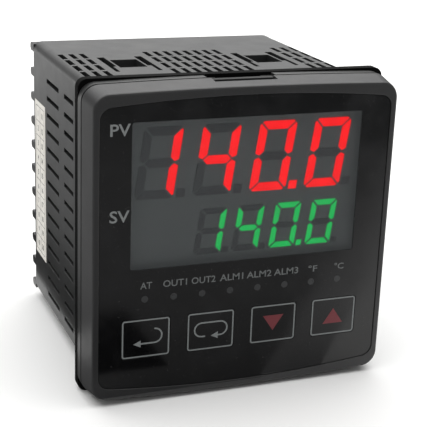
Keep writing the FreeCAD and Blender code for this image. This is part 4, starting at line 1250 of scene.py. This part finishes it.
@dataclass
class TerminalStrip(SubAssembly):
    """One side's terminal screws, and the numbers printed beside them."""

    side: Side
    head_sides: int = 32
    crown: float = 0.55 * MM
    crown_steps: int = 4
    slot_width: float = 0.9 * MM
    slot_depth: float = 0.8 * MM
    cross_reach: float = 0.72
    cross_width: float = 0.8 * MM
    cross_depth: float = 1.25 * MM
    shank_sides: int = 20
    shank_share: float = 0.3
    tip_share: float = 0.06
    tip_steps: int = 2
    smooth_angle: float = 35.0
    number_height: float = 2.4 * MM
    number_inset: float = 3.4 * MM

    def build(self) -> None:
        """Put a real screw in each place, then print the numbers."""
        name = self.side.name.lower()
        node = f"terminal_screws_{name}"
        low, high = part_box(node)
        head = high.x - low.x
        across = (low.x + high.x) / 2
        first = low.z + head / 2
        pitch = (high.z - low.z - head) / (TERMINALS - 1)
        clamp_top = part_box(f"terminal_clamps_{name}")[1].y
        pattern = self.screw(head, high.y - clamp_top, clamp_top - low.y)
        turns = random.Random(SCREW_SEEDS[self.side])
        screws = [
            self.copy(pattern, Vector((across, clamp_top, first + pitch * place)), turns.uniform(0, 90))
            for place in range(TERMINALS)
        ]
        bpy.data.objects.remove(pattern)
        strip = join(screws, f"pan_head_screws_{name}")
        finish_piece(strip, ZINC, "housing")
        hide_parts(node)
        self.print_numbers(first, pitch)

    def screw(self, head: float, head_high: float, shank_long: float) -> Piece:
        """A pan-head screw, slotted and crossed, its seat at the origin and its head towards +Z.

        Args:
            head: Head diameter.
            head_high: Head height.
            shank_long: Length of the shank below the seat.

        Returns:
            The screw's mesh object.
        """
        body = self.turned_rod("screw head", self.head_sides, head / 2, head_high)
        self.round_end(body, head_high, self.crown, self.crown_steps)
        reach = head * self.cross_reach
        for long, wide, depth in (
            (head * 2, self.slot_width, self.slot_depth),
            (reach, self.cross_width, self.cross_depth),
            (self.cross_width, reach, self.cross_depth),
        ):
            self.cut(body, (long, wide, depth * 2), head_high)
        shank = self.turned_rod("screw shank", self.shank_sides, head * self.shank_share, -shank_long)
        self.round_end(shank, -shank_long, head * self.tip_share, self.tip_steps)
        made = join([body, shank], "pan_head_screw")
        bpy.ops.object.shade_smooth_by_angle(angle=math.radians(self.smooth_angle))
        return made

    def turned_rod(self, name: str, sides: int, radius: float, length: float) -> Piece:
        """A rod along Z from the origin.

        Args:
            name: The object's name.
            sides: Number of faces round it.
            radius: Its radius.
            length: Its length, negative for a rod that points down.

        Returns:
            The rod's mesh object.
        """
        return start_piece(
            bpy.ops.mesh.primitive_cylinder_add, name, (0, 0, length / 2),
            vertices=sides, radius=radius, depth=abs(length),
        )

    def round_end(self, piece: Piece, level: float, offset: float, steps: int) -> None:
        """Bevel the edges that lie at one level along Z.

        Args:
            piece: The object.
            level: The level.
            offset: The bevel's width.
            steps: The bevel's number of faces.
        """
        hold(piece)
        bpy.ops.object.mode_set(mode="EDIT")
        bpy.ops.mesh.select_mode(type="EDGE")
        bpy.ops.mesh.select_all(action="DESELECT")
        mesh = bmesh.from_edit_mesh(piece.data)
        for edge in mesh.edges:
            edge.select_set(all(abs(vertex.co.z - level) < LEVEL_SLACK for vertex in edge.verts))
        bmesh.update_edit_mesh(piece.data)
        bpy.ops.mesh.bevel(offset=offset, segments=steps)
        bpy.ops.object.mode_set(mode="OBJECT")

    def cut(self, body: Piece, size: Triple, top: float) -> None:
        """Cut a rectangular recess into the middle of a head.

        Args:
            body: The head.
            size: The size of the cutting block, whose middle lies at the head's upper level.
            top: The head's upper level.
        """
        tool = start_piece(bpy.ops.mesh.primitive_cube_add, "recess", (0, 0, top), size, size=1.0)
        hold(body)
        recess = body.modifiers.new("Recess", "BOOLEAN")
        recess.operation = "DIFFERENCE"
        recess.object = tool
        bpy.ops.object.modifier_apply(modifier=recess.name)
        bpy.data.objects.remove(tool)

    def copy(self, pattern: Piece, place: Vector, turn: float) -> Piece:
        """A copy of the screw, seated at a place with its head to the rear.

        Args:
            pattern: The screw at the origin.
            place: Where its seat goes.
            turn: Degrees that its recess is turned by.

        Returns:
            The copy, with a mesh of its own.
        """
        twin = pattern.copy()
        twin.data = pattern.data.copy()
        bpy.context.scene.collection.objects.link(twin)
        twin.data.transform(Matrix.Translation(place) @ turned(-90, "X") @ turned(turn, "Z"))
        return twin

    def print_numbers(self, first: float, pitch: float) -> None:
        """Print the terminals' numbers on the raised cover, from the top down.

        Args:
            first: The lowest terminal's place along Z.
            pitch: The distance between terminals.
        """
        name = self.side.name.lower()
        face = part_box("rear_cover")[1].y + PRINT_PROUD
        low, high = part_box(f"terminal_block_{name}")
        inner = low.x if self.side is Side.RIGHT else high.x
        start = 1 if self.side is Side.RIGHT else 1 + TERMINALS
        marks = []
        for place in range(TERMINALS):
            text = str(start + place)
            up = first + pitch * (TERMINALS - 1 - place)
            centre = Vector((inner - self.side.value * self.number_inset, face, up))
            marks.append(lettering(text, f"number {text}", centre, (0, self.number_height), Facing.REAR))
        strip = join(marks, f"terminal_numbers_{name}")
        finish_piece(strip, NUMBER_INK, "housing")


@dataclass
class LabelPrint(SubAssembly):
    """A plain ruled table on the side label, with a number for each terminal and nothing else."""

    columns: int = 2
    margin: float = 1.6 * MM
    rule: float = 0.16 * MM
    number_height: float = 1.9 * MM

    def build(self) -> None:
        """Rule the table, then number its rows."""
        low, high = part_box("side_label")
        face = low.x - PRINT_PROUD
        front, rear = low.y + self.margin, high.y - self.margin
        bottom, top = low.z + self.margin, high.z - self.margin
        row = (top - bottom) / TERMINALS
        column = (rear - front) / self.columns
        levels = [bottom + row * place for place in range(TERMINALS + 1)]
        depths = [front + column * place for place in range(self.columns + 1)]
        lines = [self.bar(face, (front, rear), (level, level)) for level in levels]
        lines += [self.bar(face, (depth, depth), (bottom, top)) for depth in depths]
        finish_piece(join(lines, "label_table"), TABLE_INK, "housing")
        numbers = []
        for place in range(self.columns * TERMINALS):
            steps_in, steps_down = divmod(place, TERMINALS)
            centre = Vector((face, rear - column * (steps_in + 0.5), top - row * (steps_down + 0.5)))
            text, size = str(place + 1), (0, self.number_height)
            numbers.append(lettering(text, f"label number {text}", centre, size, Facing.LEFT))
        finish_piece(join(numbers, "label_numbers"), TABLE_INK, "housing")

    def bar(self, face: float, depth: Pair, level: Pair) -> Piece:
        """One rule of the table.

        Args:
            face: Its place along X.
            depth: Its ends along Y.
            level: Its ends along Z.

        Returns:
            The rule's mesh object.
        """
        size = (PRINT_THICK, depth[1] - depth[0] + self.rule, level[1] - level[0] + self.rule)
        middle = (face, sum(depth) / 2, sum(level) / 2)
        return start_piece(bpy.ops.mesh.primitive_cube_add, "rule", middle, size, size=1.0)


@dataclass(frozen=True)
class Card:
    """A card that lies on the floor as a studio flag, with its middle, lengths, paper and turn."""

    name: str
    place: Pair
    size: Pair
    paper: Finish
    turn: float = 0.0


@dataclass(frozen=True)
class Lamp:
    """A square area lamp, with its place, what it points at, its side and its power in watts."""

    name: str
    place: Triple
    aim: Triple
    size: float
    power: float


@dataclass
class Studio(SubAssembly):
    """The floor, the lights and the camera."""

    yaw: float = 21.484
    pitch: float = 18.057
    roll: float = 2.19
    distance: float = 0.360161
    target: Triple = (-0.00532, -0.0032, 0.005217)
    lens: float = 99.58
    sensor: float = 36.0
    near: float = 0.01
    floor_size: float = 6.0
    world_light: float = 0.4
    backdrop_light: float = 0.95
    lamps: tuple[Lamp, ...] = (
        Lamp("overhead", (0.0, 0.30, 1.1), (0, 0.20, 0), 2.2, 29.0),
        Lamp("rear", (0.3, 1.6, 0.8), (0, 0.05, 0), 1.4, 4.0),
    )
    card_lift: float = 2 * MM
    card_step: float = 1 * MM
    cards: tuple[Card, ...] = (
        Card("far_card", (-0.05, -0.65), (1.10, 0.80), CARD_GREY),
        Card("slanted_card", (-0.06, -0.206), (0.34, 0.34), CARD_MIDDLE, 38.0),
        Card("slanted_edge_card", (0.080, -0.096), (0.016, 0.36), CARD_LIGHT, 38.0),
        Card("front_card", (-0.33, -0.145), (0.66, 0.23), CARD_MIDDLE),
        Card("corner_card", (-0.31, -0.048), (0.58, 0.045), CARD_BLACK),
        Card("left_card", (-0.40, 0.12), (0.66, 0.60), CARD_PALE),
        Card("foot_card", (-0.0575, 0.16), (0.025, 0.28), CARD_BLACK),
    )

    def build(self) -> None:
        """Set up the floor, the light and the view."""
        bpy.context.scene.view_settings.view_transform = "Standard"
        floor_level = CAD_BOX[0].z
        self.sheet("floor", (0, 0, floor_level), (self.floor_size, self.floor_size), FLOOR_PAPER)
        self.world()
        for lamp in self.lamps:
            self.hang(lamp)
        for number, card in enumerate(self.cards):
            self.lay(card, floor_level + self.card_lift + self.card_step * number)
        self.camera()

    def sheet(self, name: str, place: Triple, size: Pair, paper: Finish, turn: float = 0.0) -> Piece:
        """A flat sheet that isn't part of the object.

        Args:
            name: Its name.
            place: Its middle.
            size: Its lengths.
            paper: Its finish.
            turn: Degrees that it is turned about Z.

        Returns:
            The sheet.
        """
        sheet = start_piece(
            bpy.ops.mesh.primitive_plane_add, name, place, (*size, 1), (0, 0, turn), size=1.0,
        )
        sheet.data.materials.append(paper.material())
        return sheet

    def lay(self, card: Card, level: float) -> None:
        """Lay a card that shows in the glossy faces alone.

        Args:
            card: The card.
            level: Its place along Z.
        """
        sheet = self.sheet(card.name, (*card.place, level), card.size, card.paper, card.turn)
        sheet.visible_camera = False
        sheet.visible_diffuse = False
        sheet.visible_shadow = False

    def hang(self, lamp: Lamp) -> None:
        """Hang an area lamp."""
        data = bpy.data.lights.new(lamp.name, "AREA")
        data.size = lamp.size
        data.energy = lamp.power
        hung = bpy.data.objects.new(lamp.name, data)
        hung.location = lamp.place
        hung.rotation_euler = (Vector(lamp.aim) - Vector(lamp.place)).to_track_quat("-Z", "Y").to_euler()
        hung.visible_camera = False
        bpy.context.scene.collection.objects.link(hung)

    def world(self) -> None:
        """A soft white surround, which looks as pale as the floor where it shows behind it."""
        world = bpy.data.worlds.new("Studio")
        bpy.context.scene.world = world
        world.use_nodes = True
        graph = Graph(world.node_tree)
        seen = graph.add("ShaderNodeLightPath").outputs["Is Camera Ray"]
        strength = graph.spread(seen, (0.0, 1.0), (self.world_light, self.backdrop_light))
        graph.fill(world.node_tree.nodes["Background"], Color=(1.0, 1.0, 1.0, 1.0), Strength=strength)

    def camera(self) -> None:
        """A long lens from the left front, a little above."""
        yaw, pitch, roll = (math.radians(angle) for angle in (self.yaw, self.pitch, self.roll))
        back = Vector((-math.sin(yaw) * math.cos(pitch), -math.cos(yaw) * math.cos(pitch), math.sin(pitch)))
        right = (-back).cross(Vector((0, 0, 1))).normalized()
        up = right.cross(-back).normalized()
        tilted_right = right * math.cos(roll) + up * math.sin(roll)
        tilted_up = -right * math.sin(roll) + up * math.cos(roll)
        data = bpy.data.cameras.new("camera")
        data.lens = self.lens
        data.sensor_width = self.sensor
        data.clip_start = self.near
        camera = bpy.data.objects.new("camera", data)
        place = Vector(self.target) + back * self.distance
        turn = Matrix((tilted_right, tilted_up, back)).transposed().to_4x4()
        camera.matrix_world = Matrix.Translation(place) @ turn
        bpy.context.scene.collection.objects.link(camera)
        bpy.context.scene.camera = camera


def main() -> None:
    """Build the sub-assemblies in order."""
    logging.basicConfig(level=logging.INFO, format="%(name)s: %(message)s")
    assemblies: list[SubAssembly] = [
        CadFinishes(SLOT_FINISHES),
        PanelPrint(),
        *(KeyPrint(key) for key in Key),
        *(TerminalStrip(side) for side in Side),
        LabelPrint(),
        Studio(),
    ]
    for assembly in assemblies:
        assembly.build()
        log.info("%s is done", type(assembly).__name__)


if __name__ == "__main__":
    main()
